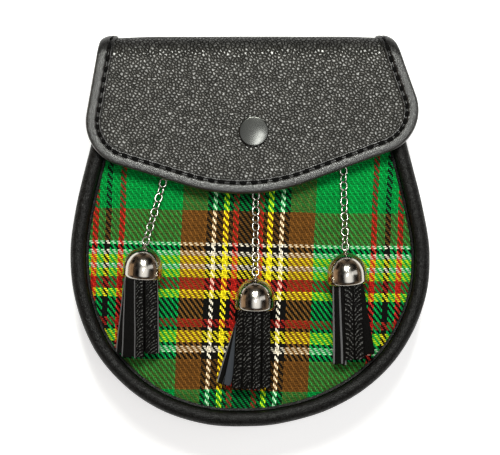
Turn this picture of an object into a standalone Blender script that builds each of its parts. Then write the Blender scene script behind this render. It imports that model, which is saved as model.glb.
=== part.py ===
"""Sporran pouch: round-bottomed leather pouch with a tartan front, a snap flap, three chains and three tassels.

Metres, +Z up. The pouch lies on its back: +Z is the way its front faces, +Y runs up to the fold of the flap and +X
is to the right seen from the front. The origin is under the middle of the pouch, on the surface that it lies on.
The flap and its binding are laid out flat, as they are cut, and then rolled over the top of the pouch.
"""
import math
from collections import namedtuple

import bmesh
import bpy
from mathutils import Matrix, Vector

MM = 0.001
GAP = 0.3 * MM                        # clearance between pieces that touch

# Body. Edge rows: height above the origin, reach to the left and to the right of the welts, in millimetres.
EdgeRow = namedtuple("EdgeRow", "height left right")
BODY_EDGE = (
    EdgeRow(87.0, 72.6, 71.4),
    EdgeRow(65.0, 77.9, 76.7),
    EdgeRow(43.0, 83.2, 82.0),
    EdgeRow(14.0, 90.2, 89.3),
    EdgeRow(-11.0, 93.4, 93.2),
    EdgeRow(-36.0, 90.8, 90.7),
    EdgeRow(-61.0, 81.1, 79.5),
    EdgeRow(-80.0, 65.3, 62.0),
    EdgeRow(-93.0, 45.9, 39.6),
    EdgeRow(-99.9, 24.3, 14.8),
)
BODY_BOTTOM = (-5.2, -101.3)          # lowest point of the welts, in millimetres
EDGE_PIECES = 40                      # straight stretches that the edge is cut into
CURVE_STEPS = 12                      # fine steps between two rows when the edge is worked out

WELT_RADIUS = 4.2 * MM                # piping round both edges
FRONT_WELT_HEIGHT = 38.0 * MM         # middle of the front piping
BACK_INSET = 8.3 * MM                 # edge of the back panel, in from the edge of the welts
FRONT_INSET = 7.6 * MM                # edge of the front panel

BACK_OUTSIDE = 6.2 * MM               # outer face of the back panel
BACK_THICK = 1.8 * MM
PANEL_TOP = 86.0 * MM                 # mouth edge of both panels

GUSSET_THICK = 1.8 * MM
# How far the gusset is pinched in at each share of its width.
Gusset = namedtuple("Gusset", "share pinch")
GUSSET_ROWS = (Gusset(0.0, 0.0), Gusset(0.3, 2.0), Gusset(0.7, 2.0), Gusset(1.0, 0.0))

FRONT_EDGE_HEIGHT = 35.0 * MM         # outer face of the front panel at its edge
FRONT_THICK = 2.0 * MM
# The front panel's dome: each ring's step in from the last one, and its rise, in millimetres.
Ring = namedtuple("Ring", "step rise")
FRONT_RINGS = (Ring(6.0, 1.3), Ring(14.0, 0.9))
FRONT_OUTSIDE = FRONT_EDGE_HEIGHT + sum(ring.rise for ring in FRONT_RINGS) * MM

# Flap. Corners of its flat pattern and their radii, in millimetres; above the fold, height runs along the leather.
Corner = namedtuple("Corner", "x height radius")
FLAP_PATTERN = (
    Corner(-76.0, 141.3, 0.0),
    Corner(-76.7, 107.0, 30.0),
    Corner(-88.6, 40.6, 19.5),
    Corner(-1.3, 14.7, 100.0),
    Corner(93.6, 48.5, 23.0),
    Corner(73.1, 106.0, 30.0),
    Corner(72.6, 141.3, 0.0),
)
CORNER_STEP = math.radians(19.0)      # turn between two points of a rounded corner
FLAP_MIDDLE = 45.2 * MM               # height of the flap's middle layer over the front
FLAP_THICK = 1.8 * MM
FOLD_START = 87.2 * MM                # where the flap begins to roll over
FRONT_ROLL = 12.0 * MM
BACK_ROLL = 10.0 * MM
TAIL_MIDDLE = 5.0 * MM                # height of the tail's middle layer on the back
ROLL_PIECES = 5                       # bends that each roll is made of
TAIL_HALF_WIDTH = 58.0 * MM           # the tail that is lapped on the back panel
TAIL_END = 158.0 * MM                 # along the leather

# Binding section: in from the edge and above the flap's middle layer, in millimetres, round the section.
SectionPoint = namedtuple("SectionPoint", "inward up")
BINDING_SECTION = (
    SectionPoint(8.8, 1.25),
    SectionPoint(8.8, 1.9),
    SectionPoint(2.4, 2.4),
    SectionPoint(0.6, 1.5),
    SectionPoint(0.0, 0.0),
    SectionPoint(0.6, -1.5),
    SectionPoint(2.4, -2.4),
    SectionPoint(6.8, -2.2),
    SectionPoint(6.8, -1.25),
    SectionPoint(1.3, -1.25),
    SectionPoint(1.3, 1.25),
)
FLAP_IN_BINDING = 1.7 * MM            # the flap's own edge, in from the binding's edge

# Press stud.
SNAP_AT = (1.8 * MM, 51.8 * MM)
SNAP_RADIUS = 7.5 * MM
SNAP_RISE = 2.4 * MM
SNAP_RIM = 0.6 * MM                   # upright wall at the edge of the cap
SNAP_DOME_STEPS = 4
SNAP_FULLNESS = 0.8                   # 1 is a round dome, less is a flatter one
SNAP_SIDES = 16
STUD_RADIUS = 4.5 * MM
STUD_FOOT_RADIUS = 6.5 * MM
STUD_FOOT = 1.6 * MM

# Belt loops: side profile of the leather's middle layer, along the back and up from the surface, in millimetres.
LOOP_X = 44.0 * MM
LOOP_WIDTH = 22.0 * MM
LOOP_THICK = 1.6 * MM
LOOP_PROFILE = ((6.0, 5.1), (15.0, 5.1), (17.5, 3.7), (18.5, 1.8), (21.0, 0.8),
                (53.0, 0.8), (55.5, 1.8), (56.5, 3.7), (59.0, 5.1), (67.0, 5.1))

# Chains: oval links of round wire.
LINK_LENGTH = 5.1 * MM
LINK_WIDTH = 4.3 * MM
LINK_WIRE = 0.74 * MM
LINK_PITCH = 3.8 * MM                 # wires of neighbouring links bite into each other a little
LINK_SIDES = 10
WIRE_SIDES = 5
LINK_TURNS = (8.0, -54.0)             # degrees that alternate links lean about the chain
CHAIN_LIFT = 2.3 * MM                 # middle of a chain above the front panel
CHAIN_FALL = 2.2                      # how soon a chain comes down to the panel from its cap
CHAIN_PATH_STEPS = 60
RIVET_RADIUS = 0.75 * MM
RIVET_HEAD_RADIUS = 2.0 * MM
RIVET_HEAD = 0.9 * MM
RIVET_NECK = 2.0 * MM                 # free length of the rivet above the first link
RIVET_SIDES = 8

# Bell caps.
CAP_RADIUS = 9.8 * MM
CAP_HEIGHT = 16.4 * MM
CAP_SHOULDER = 7.6 * MM               # height of the straight wall, above which the dome begins
CAP_RIM_RADIUS = 9.4 * MM
CAP_TUCK = 2.3 * MM                   # height above the rim where the wall begins to draw in
CAP_WALL = 0.7 * MM
CAP_SIDES = 14
DOME_STEPS = 4
CAP_FULLNESS = 2.15                   # 2 is a round dome, more is a squarer one
EYE_RADIUS = 1.5 * MM                 # middle of the eye's wire
EYE_WIRE = 0.9 * MM
EYE_RISE = 1.4 * MM                   # middle of the eye above the top of the dome
HEAD_RADIUS = 6.5 * MM                # leather roll that the strips are glued to
HEAD_TOP = 9.0 * MM
HEAD_BOTTOM = -5.0 * MM
HEAD_SIDES = 12
STRIP_THICK = 1.5 * MM
STRIP_CIRCLE = 6.9 * MM               # middle of the strips where they come out of the cap
STRIP_GATHER = 0.8                    # share of its width that a strip keeps inside the cap
STRIP_SPREAD = 1.1                    # 1 is a straight strip, more is one that spreads later
STRIP_FLAT = 0.7                      # share of its length after which a strip's face has turned flat
STRIP_FULL = 0.5                      # share of its length after which it has its full width

# A tassel: place of the middle of its cap's rim and of the upper end of its chain, under the flap, in millimetres,
# and in degrees how far it leans to the left and how far its rim end drops towards the front panel.
Tassel = namedtuple("Tassel", "name rim_x rim_y lean drop chain_x chain_y strips")
# Strips: place round the head (0 faces up, 90 is to the right), across and above the panel at the end, turn of its
# face there, length below the rim and width; degrees and millimetres.
Strip = namedtuple("Strip", "around across above turn length width")
TASSELS = (
    Tassel("left", -55.9, -24.4, 5.0, 5.0, -41.5, 38.4, (
        Strip(-18.0, -1.2, 7.6, 0.0, 40.6, 4.6),
        Strip(28.0, 5.4, 7.0, 8.0, 39.8, 6.6),
        Strip(-58.0, -6.6, 6.4, -10.0, 40.0, 5.4),
        Strip(-100.0, -10.4, 4.2, -48.0, 38.4, 4.4),
        Strip(92.0, 8.2, 3.6, 30.0, 37.6, 4.6),
        Strip(150.0, 4.4, 2.2, 0.0, 38.0, 6.4),
        Strip(205.0, -3.6, 2.2, 0.0, 38.6, 6.4),
    )),
    Tassel("centre", 2.4, -40.6, 1.0, 5.0, 3.0, 33.2, (
        Strip(-16.0, -3.4, 7.6, 0.0, 40.0, 5.6),
        Strip(28.0, 2.6, 7.6, 0.0, 40.8, 5.6),
        Strip(68.0, 6.6, 5.8, 14.0, 39.0, 4.6),
        Strip(-62.0, -8.4, 5.6, -10.0, 39.6, 4.8),
        Strip(-104.0, -15.0, 3.4, -6.0, 38.6, 3.4),
        Strip(-134.0, -19.0, 2.2, 14.0, 39.4, 3.4),
        Strip(140.0, 4.0, 2.2, 0.0, 37.6, 6.4),
        Strip(190.0, -5.0, 2.2, 0.0, 38.0, 6.4),
    )),
    Tassel("right", 50.4, -27.4, -4.0, 5.0, 48.2, 40.2, (
        Strip(-18.0, -1.6, 7.6, 0.0, 39.0, 5.4),
        Strip(28.0, 4.2, 7.2, 8.0, 38.6, 5.6),
        Strip(-60.0, -5.8, 6.2, -30.0, 41.4, 3.8),
        Strip(-98.0, -9.6, 4.0, -50.0, 42.0, 4.2),
        Strip(76.0, 9.4, 4.6, 16.0, 36.0, 6.0),
        Strip(140.0, 6.0, 2.2, 0.0, 37.6, 6.4),
        Strip(200.0, -3.0, 2.2, 0.0, 38.2, 6.4),
    )),
)
STRIP_STATIONS = (9.0, 1.0, -6.0, -18.0)  # heights of a strip's rows about the rim, before its end, in millimetres
AXIS_LIFT = CAP_RADIUS + 0.5 * MM     # middle of a cap's rim above the front panel

MATERIALS = {                         # base colour, roughness, metallic
    "grained leather": ((0.035, 0.034, 0.033), 0.55, 0.0),
    "smooth leather": ((0.028, 0.027, 0.025), 0.40, 0.0),
    "tartan": ((0.02, 0.25, 0.09), 0.90, 0.0),
    "chromed steel": ((0.80, 0.79, 0.77), 0.08, 1.0),
    "dark nickel": ((0.20, 0.20, 0.21), 0.30, 1.0),
}


def clear_scene():
    for obj in list(bpy.data.objects):
        bpy.data.objects.remove(obj, do_unlink=True)


def material(name):
    """The named material, made the first time it is asked for."""
    found = bpy.data.materials.get(name)
    if found:
        return found
    colour, roughness, metallic = MATERIALS[name]
    made = bpy.data.materials.new(name)
    made.use_nodes = True
    shader = made.node_tree.nodes["Principled BSDF"]
    shader.inputs["Base Color"].default_value = (*colour, 1.0)
    shader.inputs["Roughness"].default_value = roughness
    shader.inputs["Metallic"].default_value = metallic
    return made


def add_object(name, data, finish, parts):
    """A new object in the collection, with its material."""
    obj = bpy.data.objects.new(name, data)
    data.materials.append(material(finish))
    parts.objects.link(obj)
    return obj


def smooth_faces(obj):
    obj.data.shade_smooth()
    obj.data.set_sharp_from_angle(angle=math.radians(35.0))


# Outlines

def smooth_curve(points, pieces):
    """A Catmull-Rom curve through the points, cut into equal stretches."""
    ends = [2 * points[0] - points[1], *points, 2 * points[-1] - points[-2]]
    fine = []
    for before, start, end, after in zip(ends, ends[1:], ends[2:], ends[3:]):
        for step in range(CURVE_STEPS):
            t = step / CURVE_STEPS
            fine.append(0.5 * (2 * start + (end - before) * t
                               + (2 * before - 5 * start + 4 * end - after) * t * t
                               + (3 * start - before - 3 * end + after) * t ** 3))
    fine.append(points[-1])
    return even_stretches(fine, pieces)


def even_stretches(points, pieces):
    """Points at equal distances along a line of points."""
    runs = [(b - a).length for a, b in zip(points, points[1:])]
    total = sum(runs)
    placed, index, before = [points[0].copy()], 0, 0.0
    for step in range(1, pieces):
        target = total * step / pieces
        while before + runs[index] < target:
            before += runs[index]
            index += 1
        placed.append(points[index].lerp(points[index + 1], (target - before) / runs[index]))
    placed.append(points[-1].copy())
    return placed


def inset(points, distance):
    """The open outline moved to its left, which is the inside of an outline that runs anticlockwise."""
    moved = []
    for index, point in enumerate(points):
        along = points[min(index + 1, len(points) - 1)] - points[max(index - 1, 0)]
        moved.append(point + Vector((-along.y, along.x)).normalized() * distance)
    return moved


def rounded(corners):
    """An open outline through the corners, with an arc of each corner's radius."""
    places = [Vector((corner.x, corner.height)) * MM for corner in corners]
    line = [places[0]]
    for before, corner, after, row in zip(places, places[1:], places[2:], corners[1:]):
        come, leave = (corner - before).normalized(), (after - corner).normalized()
        turn = come.angle_signed(leave) * -1.0
        radius = row.radius * MM
        start = corner - come * radius * math.tan(abs(turn) / 2)
        side = Vector((-come.y, come.x)) * math.copysign(radius, turn)
        steps = max(2, math.ceil(abs(turn) / CORNER_STEP))
        for step in range(steps + 1):
            line.append(start + side + Matrix.Rotation(turn * step / steps, 2) @ -side)
    return [*line, places[-1]]


def body_edge():
    """The outer edge of the welts, from the upper left corner round the bottom to the upper right one."""
    left = [Vector((-row.left, row.height)) * MM for row in BODY_EDGE]
    right = [Vector((row.right, row.height)) * MM for row in reversed(BODY_EDGE)]
    return smooth_curve([*left, Vector(BODY_BOTTOM) * MM, *right], EDGE_PIECES)


def panel_edge(distance):
    """A panel's outline: the body's edge moved in, cut level at the mouth."""
    line = inset(body_edge(), distance)
    left = line[0].lerp(line[1], (line[0].y - PANEL_TOP) / (line[0].y - line[1].y))
    right = line[-1].lerp(line[-2], (line[-1].y - PANEL_TOP) / (line[-1].y - line[-2].y))
    return [left, *line[1:-1], right]


# The roll of the flap over the top of the pouch

DROP_X = FLAP_MIDDLE - FRONT_ROLL - (TAIL_MIDDLE + BACK_ROLL)      # level stretch between the two rolls
ROLL_ONE = FRONT_ROLL * math.pi / 2
ROLL_TWO = BACK_ROLL * math.pi / 2
FOLD_TWO = FOLD_START + ROLL_ONE + DROP_X
TAIL_START = FOLD_TWO + ROLL_TWO


def roll_stations():
    """Places along the leather where the flap bends."""
    first = [FOLD_START + ROLL_ONE * step / ROLL_PIECES for step in range(ROLL_PIECES + 1)]
    second = [FOLD_TWO + ROLL_TWO * step / ROLL_PIECES for step in range(ROLL_PIECES + 1)]
    return first + second


def roll(across, along, up):
    """Where a point of the flat flap lies once the flap is rolled over the top."""
    if along <= FOLD_START:
        return Vector((across, along, FLAP_MIDDLE + up))
    if along <= FOLD_START + ROLL_ONE:
        angle, reach = (along - FOLD_START) / FRONT_ROLL, FRONT_ROLL + up
        return Vector((across, FOLD_START + reach * math.sin(angle),
                       FLAP_MIDDLE - FRONT_ROLL + reach * math.cos(angle)))
    if along <= FOLD_TWO:
        down = along - FOLD_START - ROLL_ONE
        return Vector((across, FOLD_START + FRONT_ROLL + up, FLAP_MIDDLE - FRONT_ROLL - down))
    back_centre = FOLD_START + FRONT_ROLL - BACK_ROLL
    if along <= TAIL_START:
        angle, reach = (along - FOLD_TWO) / BACK_ROLL, BACK_ROLL + up
        return Vector((across, back_centre + reach * math.cos(angle),
                       TAIL_MIDDLE + BACK_ROLL - reach * math.sin(angle)))
    return Vector((across, back_centre - (along - TAIL_START), TAIL_MIDDLE - up))


def flap_edge():
    """The flap's flat outline, with a point wherever it crosses a bend."""
    line = rounded(FLAP_PATTERN)
    full = [line[0]]
    for start, end in zip(line, line[1:]):
        crossed = [s for s in roll_stations() if min(start.y, end.y) + 1e-6 < s < max(start.y, end.y) - 1e-6]
        for station in sorted(crossed, reverse=end.y < start.y):
            full.append(start.lerp(end, (station - start.y) / (end.y - start.y)))
        full.append(end)
    return full


# Mesh makers

def surface(name, rows, finish, parts, closed_rows=False, caps=False):
    """A surface through rows of points, left open or closed round each row and capped at both ends."""
    bm = bmesh.new()
    grid = [[bm.verts.new(point) for point in row] for row in rows]
    for row, following in zip(grid, grid[1:]):
        count = len(row)
        for index in range(count if closed_rows else count - 1):
            after = (index + 1) % count
            bm.faces.new((row[index], row[after], following[after], following[index]))
    if caps:
        bm.faces.new(grid[0])
        bm.faces.new(reversed(grid[-1]))
    bmesh.ops.recalc_face_normals(bm, faces=bm.faces)
    mesh = bpy.data.meshes.new(name)
    bm.to_mesh(mesh)
    bm.free()
    return add_object(name, mesh, finish, parts)


def thicken(obj, thickness, offset=0.0):
    """Leather of an even thickness from an open surface."""
    shell = obj.modifiers.new("leather thickness", "SOLIDIFY")
    shell.thickness = thickness
    shell.offset = offset
    shell.use_even_offset = True


def plate(name, outline, low, high, finish, parts):
    """A flat piece of the outline's shape."""
    curve = bpy.data.curves.new(name, "CURVE")
    curve.dimensions = "2D"
    curve.fill_mode = "BOTH"
    curve.extrude = (high - low) / 2
    spline = curve.splines.new("POLY")
    spline.points.add(len(outline) - 1)
    for place, point in zip(spline.points, outline):
        place.co = (point.x, point.y, 0.0, 1.0)
    spline.use_cyclic_u = True
    obj = add_object(name, curve, finish, parts)
    obj.location.z = (low + high) / 2
    return obj


def piping(name, height, parts):
    """A round welt along the body's edge."""
    curve = bpy.data.curves.new(name, "CURVE")
    curve.dimensions = "3D"
    curve.bevel_depth = WELT_RADIUS
    curve.bevel_resolution = 2
    curve.use_fill_caps = True
    line = inset(body_edge(), WELT_RADIUS)
    spline = curve.splines.new("POLY")
    spline.points.add(len(line) - 1)
    for place, point in zip(spline.points, line):
        place.co = (point.x, point.y, 0.0, 1.0)
    obj = add_object(name, curve, "smooth leather", parts)
    obj.location.z = height
    return obj


def turned(name, profile, sides, finish, parts):
    """A turned piece: the profile's radius and height, from the top axis point down its outer side."""
    bm = bmesh.new()
    points = [bm.verts.new((radius, 0.0, height)) for radius, height in profile]
    for start, end in zip(points, points[1:]):
        bm.edges.new((start, end))
    mesh = bpy.data.meshes.new(name)
    bm.to_mesh(mesh)
    bm.free()
    obj = add_object(name, mesh, finish, parts)
    turn = obj.modifiers.new("turned", "SCREW")
    turn.angle = 2 * math.pi
    turn.steps = turn.render_steps = sides
    turn.use_merge_vertices = True
    turn.merge_threshold = 0.00002
    return obj


def settle(obj):
    """Makes the object's modifiers part of its mesh."""
    evaluated = obj.evaluated_get(bpy.context.evaluated_depsgraph_get())
    mesh = bpy.data.meshes.new_from_object(evaluated)
    obj.modifiers.clear()
    obj.data = mesh
    return obj


def fuse(obj, others):
    """Joins the other objects into this one as a single body."""
    for other in others:
        union = obj.modifiers.new("fused", "BOOLEAN")
        union.operation = "UNION"
        union.solver = "EXACT"
        union.object = other
    bpy.context.view_layer.update()
    settle(obj)
    for other in others:
        bpy.data.objects.remove(other, do_unlink=True)
    return obj


def ring(name, radius, wire, sides, wire_sides, finish, parts):
    """A wire ring, flat in X and Y."""
    bpy.ops.mesh.primitive_torus_add(major_segments=sides, minor_segments=wire_sides,
                                     major_radius=radius, minor_radius=wire / 2)
    made = bpy.context.object
    mesh = made.data
    bpy.data.objects.remove(made, do_unlink=True)
    mesh.name = name
    return add_object(name, mesh, finish, parts)


# Pieces

def back_panel(parts):
    plate("back_panel", panel_edge(BACK_INSET), BACK_OUTSIDE, BACK_OUTSIDE + BACK_THICK, "smooth leather", parts)


def gusset(parts):
    """The strip between the two welts, pinched in along its middle."""
    low = 2 * WELT_RADIUS + GAP
    high = FRONT_WELT_HEIGHT - WELT_RADIUS - GAP
    rows = []
    for row in GUSSET_ROWS:
        height = low + (high - low) * row.share
        line = inset(body_edge(), WELT_RADIUS + row.pinch * MM)
        rows.append([Vector((point.x, point.y, height)) for point in line])
    thicken(surface("gusset", rows, "smooth leather", parts), GUSSET_THICK)


def front_panel(parts):
    """The domed front board: its outline, set in and raised ring by ring."""
    bm = bmesh.new()
    face = bm.faces.new([bm.verts.new((point.x, point.y, FRONT_EDGE_HEIGHT)) for point in panel_edge(FRONT_INSET)])
    face.normal_update()
    height = FRONT_EDGE_HEIGHT
    for row in FRONT_RINGS:
        bmesh.ops.inset_region(bm, faces=[face], thickness=row.step * MM, use_boundary=True,
                               use_even_offset=True)
        height += row.rise * MM
        for vert in face.verts:
            vert.co.z = height
    bmesh.ops.recalc_face_normals(bm, faces=bm.faces)
    if face.normal.z < 0:
        bmesh.ops.reverse_faces(bm, faces=bm.faces)
    mesh = bpy.data.meshes.new("front_panel")
    bm.to_mesh(mesh)
    bm.free()
    thicken(add_object("front_panel", mesh, "tartan", parts), FRONT_THICK, offset=-1.0)


def flap(parts):
    """The flap, cut flat, bent over the top and lapped on the back as a narrower tail."""
    full = [point for point in inset(flap_edge(), FLAP_IN_BINDING) if point.y < TAIL_START - MM]
    full = [Vector((full[0].x, TAIL_START)), *full, Vector((full[-1].x, TAIL_START))]
    outline = [Vector((-TAIL_HALF_WIDTH, TAIL_END)), Vector((-TAIL_HALF_WIDTH, TAIL_START)), *full,
               Vector((TAIL_HALF_WIDTH, TAIL_START)), Vector((TAIL_HALF_WIDTH, TAIL_END))]
    bm = bmesh.new()
    bm.faces.new([bm.verts.new((point.x, point.y, 0.0)) for point in outline])
    for station in roll_stations():
        bmesh.ops.bisect_plane(bm, geom=[*bm.verts, *bm.edges, *bm.faces], dist=0.000001,
                               plane_co=(0.0, station, 0.0), plane_no=(0.0, 1.0, 0.0))
    for vert in bm.verts:
        vert.co = roll(vert.co.x, vert.co.y, 0.0)
    bmesh.ops.recalc_face_normals(bm, faces=bm.faces)
    mesh = bpy.data.meshes.new("flap")
    bm.to_mesh(mesh)
    bm.free()
    obj = add_object("flap", mesh, "grained leather", parts)
    thicken(obj, FLAP_THICK)
    smooth_faces(obj)


def flap_binding(parts):
    """The binding, folded over the flap's edge all the way round its free side."""
    line = flap_edge()
    rows = []
    for index, point in enumerate(line):
        along = line[min(index + 1, len(line) - 1)] - line[max(index - 1, 0)]
        inward = Vector((-along.y, along.x)).normalized()
        row = []
        for spot in BINDING_SECTION:
            flat = point + inward * spot.inward * MM
            row.append(roll(flat.x, flat.y, spot.up * MM))
        rows.append(row)
    smooth_faces(surface("flap_binding", rows, "smooth leather", parts, closed_rows=True, caps=True))


def press_stud(parts):
    """The low domed cap on the flap and the plain stud under it."""
    dome = []
    for step in range(SNAP_DOME_STEPS):
        angle = math.pi / 2 * step / SNAP_DOME_STEPS
        dome.append((SNAP_RADIUS * math.sin(angle), SNAP_RISE * math.cos(angle) ** SNAP_FULLNESS))
    cap = turned("snap_cap", [*dome, (SNAP_RADIUS, SNAP_RIM), (SNAP_RADIUS, 0.0), (0.0, 0.0)],
                 SNAP_SIDES, "dark nickel", parts)
    cap.location = (*SNAP_AT, FLAP_MIDDLE + FLAP_THICK / 2 + GAP)
    low = FRONT_OUTSIDE + GAP
    rise = FLAP_MIDDLE - FLAP_THICK / 2 - GAP - low
    profile = ((0.0, rise), (STUD_RADIUS, rise), (STUD_RADIUS, STUD_FOOT), (STUD_FOOT_RADIUS, STUD_FOOT),
               (STUD_FOOT_RADIUS, 0.0), (0.0, 0.0))
    stud = turned("snap_stud", profile, SNAP_SIDES, "dark nickel", parts)
    stud.location = (*SNAP_AT, low)


def belt_loops(parts):
    """Two leather loops on the back that a sporran strap goes through."""
    for side, name in ((-1, "belt_loop_left"), (1, "belt_loop_right")):
        rows = []
        for edge in (-0.5, 0.5):
            across = side * LOOP_X + edge * LOOP_WIDTH
            rows.append([Vector((across, along * MM, up * MM)) for along, up in LOOP_PROFILE])
        thicken(surface(name, rows, "smooth leather", parts), LOOP_THICK)


def tassel_frame(tassel):
    """The tassel's own frame: origin in the middle of the cap's rim, Y up to the eye and Z to the front."""
    place = Vector((tassel.rim_x * MM, tassel.rim_y * MM, FRONT_OUTSIDE + AXIS_LIFT))
    lean = Matrix.Rotation(math.radians(-tassel.lean), 4, "Z")
    drop = Matrix.Rotation(math.radians(tassel.drop), 4, "X")
    return Matrix.Translation(place) @ lean @ drop


def eye_place(tassel):
    """Middle of the eye on top of the cap."""
    return tassel_frame(tassel) @ Vector((0.0, CAP_HEIGHT + EYE_RISE, 0.0))


def bell_cap(tassel, parts):
    """The bell cap, open below, with a wire eye fused to its top."""
    outer = []
    for step in range(DOME_STEPS):
        angle = math.pi / 2 * step / DOME_STEPS
        radius = CAP_RADIUS * math.sin(angle) ** (2 / CAP_FULLNESS) if step else 0.0
        outer.append((radius, CAP_SHOULDER + (CAP_HEIGHT - CAP_SHOULDER) * math.cos(angle) ** (2 / CAP_FULLNESS)))
    outer += [(CAP_RADIUS, CAP_SHOULDER), (CAP_RADIUS, CAP_TUCK), (CAP_RIM_RADIUS, 0.0)]
    inner = [(max(radius - CAP_WALL, 0.0), height - CAP_WALL) for radius, height in outer[:-2]]
    profile = [*outer, (CAP_RIM_RADIUS - CAP_WALL, 0.0), *reversed(inner)]
    name = f"tassel_cap_{tassel.name}"
    cap = turned(name, profile, CAP_SIDES, "chromed steel", parts)
    cap = settle(cap)
    cap.data.transform(Matrix.Rotation(math.radians(-90.0), 4, "X"))
    eye = ring("eye", EYE_RADIUS, EYE_WIRE, LINK_SIDES, WIRE_SIDES, "chromed steel", parts)
    eye.data.transform(Matrix.Translation((0.0, CAP_HEIGHT + EYE_RISE, 0.0))
                       @ Matrix.Rotation(math.radians(90.0), 4, "Y"))
    fuse(cap, [eye])
    cap.matrix_world = tassel_frame(tassel)
    smooth_faces(cap)


def tassel_strip(name, tassel, row, parts):
    """One leather strip: it leaves the head round the cap's mouth and turns flat towards its end."""
    around = math.radians(row.around)
    frame = tassel_frame(tassel)
    level = frame.inverted() @ Vector((frame.translation.x, frame.translation.y, FRONT_OUTSIDE))
    start = Vector((math.sin(around), 0.0, math.cos(around))) * STRIP_CIRCLE
    start_side = Vector((math.cos(around), 0.0, -math.sin(around)))
    turn = math.radians(row.turn)
    end_side = Vector((math.cos(turn), 0.0, math.sin(turn)))
    if start_side.dot(end_side) < 0:
        start_side.negate()
    drop = math.tan(math.radians(tassel.drop)) * row.length * MM
    end = Vector((row.across * MM, 0.0, level.z + row.above * MM + drop))
    rows = []
    heights = [height * MM for height in STRIP_STATIONS] + [-row.length * MM]
    for height in heights:
        share = max(0.0, -height / (row.length * MM))
        middle = start.lerp(end, share ** STRIP_SPREAD)
        side = start_side.lerp(end_side, min(1.0, share / STRIP_FLAT)).normalized()
        gather = STRIP_GATHER + (1.0 - STRIP_GATHER) * min(1.0, share / STRIP_FULL)
        half = side * row.width * MM / 2 * gather
        rows.append([Vector((middle.x, height, middle.z)) - half, Vector((middle.x, height, middle.z)) + half])
    strip = surface(name, rows, "smooth leather", parts)
    thicken(strip, STRIP_THICK)
    return settle(strip)


def tassel_skirt(tassel, parts):
    """The leather strips, fused to the roll of leather inside the cap."""
    name = f"tassel_{tassel.name}"
    profile = ((0.0, HEAD_TOP), (HEAD_RADIUS, HEAD_TOP), (HEAD_RADIUS, HEAD_BOTTOM), (0.0, HEAD_BOTTOM))
    head = settle(turned(name, profile, HEAD_SIDES, "smooth leather", parts))
    head.data.transform(Matrix.Rotation(math.radians(-90.0), 4, "X"))
    strips = [tassel_strip(f"strip_{index}", tassel, row, parts) for index, row in enumerate(tassel.strips)]
    fuse(head, strips)
    head.matrix_world = tassel_frame(tassel)


def chain_path(tassel):
    """The way of a chain: from the eye of the cap down to the front panel and up under the flap."""
    eye = eye_place(tassel)
    level = FRONT_OUTSIDE + CHAIN_LIFT
    end = Vector((tassel.chain_x * MM, tassel.chain_y * MM, level))
    line = []
    for step in range(CHAIN_PATH_STEPS + 1):
        share = step / CHAIN_PATH_STEPS
        spot = eye.lerp(end, share)
        spot.z = level + (eye.z - level) * (1.0 - share) ** CHAIN_FALL
        line.append(spot)
    return line


def along_path(line, distance):
    """The point at a distance along a line of points."""
    for start, end in zip(line, line[1:]):
        run = (end - start).length
        if distance <= run:
            break
        distance -= run
    return start.lerp(end, distance / run)


def chain(tassel, parts):
    """Oval links from the eye of the tassel's cap to the rivet under the flap, fused where they meet."""
    line = chain_path(tassel)
    length = sum((end - start).length for start, end in zip(line, line[1:]))
    half = (LINK_LENGTH - LINK_WIRE) / 2
    count = int((length - 2 * half) / LINK_PITCH) + 1
    groups = ([], [])
    for index in range(count):
        middle = half + index * LINK_PITCH
        place = along_path(line, middle)
        along = (along_path(line, middle + half) - along_path(line, middle - half)).normalized()
        lean = LINK_TURNS[index % 2] if index < count - 1 else 0.0
        across = along.cross(Vector((0.0, 0.0, 1.0))).normalized()
        frame = Matrix((across, along, across.cross(along))).transposed().to_4x4()
        link = ring("link", (LINK_WIDTH - LINK_WIRE) / 2, LINK_WIRE, LINK_SIDES, WIRE_SIDES, "chromed steel", parts)
        for vert in link.data.vertices:
            if abs(vert.co.y) > 0.01 * MM:
                vert.co.y += math.copysign((LINK_LENGTH - LINK_WIDTH) / 2, vert.co.y)
        link.data.transform(Matrix.Translation(place) @ frame @ Matrix.Rotation(math.radians(lean), 4, "Y"))
        groups[index % 2].append(link)
    name = f"chain_{tassel.name}"
    for group in groups:
        bm = bmesh.new()
        for link in group:
            bm.from_mesh(link.data)
        bm.to_mesh(group[0].data)
        bm.free()
        for link in group[1:]:
            bpy.data.objects.remove(link, do_unlink=True)
    groups[0][0].name = name
    fused = fuse(groups[0][0], [groups[1][0]])
    smooth_faces(fused)
    rivet(tassel, place, parts)


def rivet(tassel, place, parts):
    """The plain rivet through the first link, under the flap."""
    low = FRONT_OUTSIDE + GAP
    neck = place.z + RIVET_NECK - low
    profile = ((0.0, neck + RIVET_HEAD), (RIVET_HEAD_RADIUS, neck + RIVET_HEAD), (RIVET_HEAD_RADIUS, neck),
               (RIVET_RADIUS, neck), (RIVET_RADIUS, 0.0), (0.0, 0.0))
    pin = turned(f"chain_rivet_{tassel.name}", profile, RIVET_SIDES, "dark nickel", parts)
    pin.location = (place.x, place.y, low)


def main():
    clear_scene()
    parts = bpy.data.collections.new("sporran_pouch")
    bpy.context.scene.collection.children.link(parts)
    back_panel(parts)
    gusset(parts)
    front_panel(parts)
    piping("back_piping", WELT_RADIUS, parts)
    piping("front_piping", FRONT_WELT_HEIGHT, parts)
    flap(parts)
    flap_binding(parts)
    press_stud(parts)
    belt_loops(parts)
    for tassel in TASSELS:
        bell_cap(tassel, parts)
        tassel_skirt(tassel, parts)
        chain(tassel, parts)


main()
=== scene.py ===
"""Looks of the sporran pouch: leather, tartan, chains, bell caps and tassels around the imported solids."""
import math
import random

import bmesh
import bpy
from bpy.props import FloatProperty, FloatVectorProperty, PointerProperty
from collections import namedtuple
from mathutils import Matrix, Vector, noise


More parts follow.
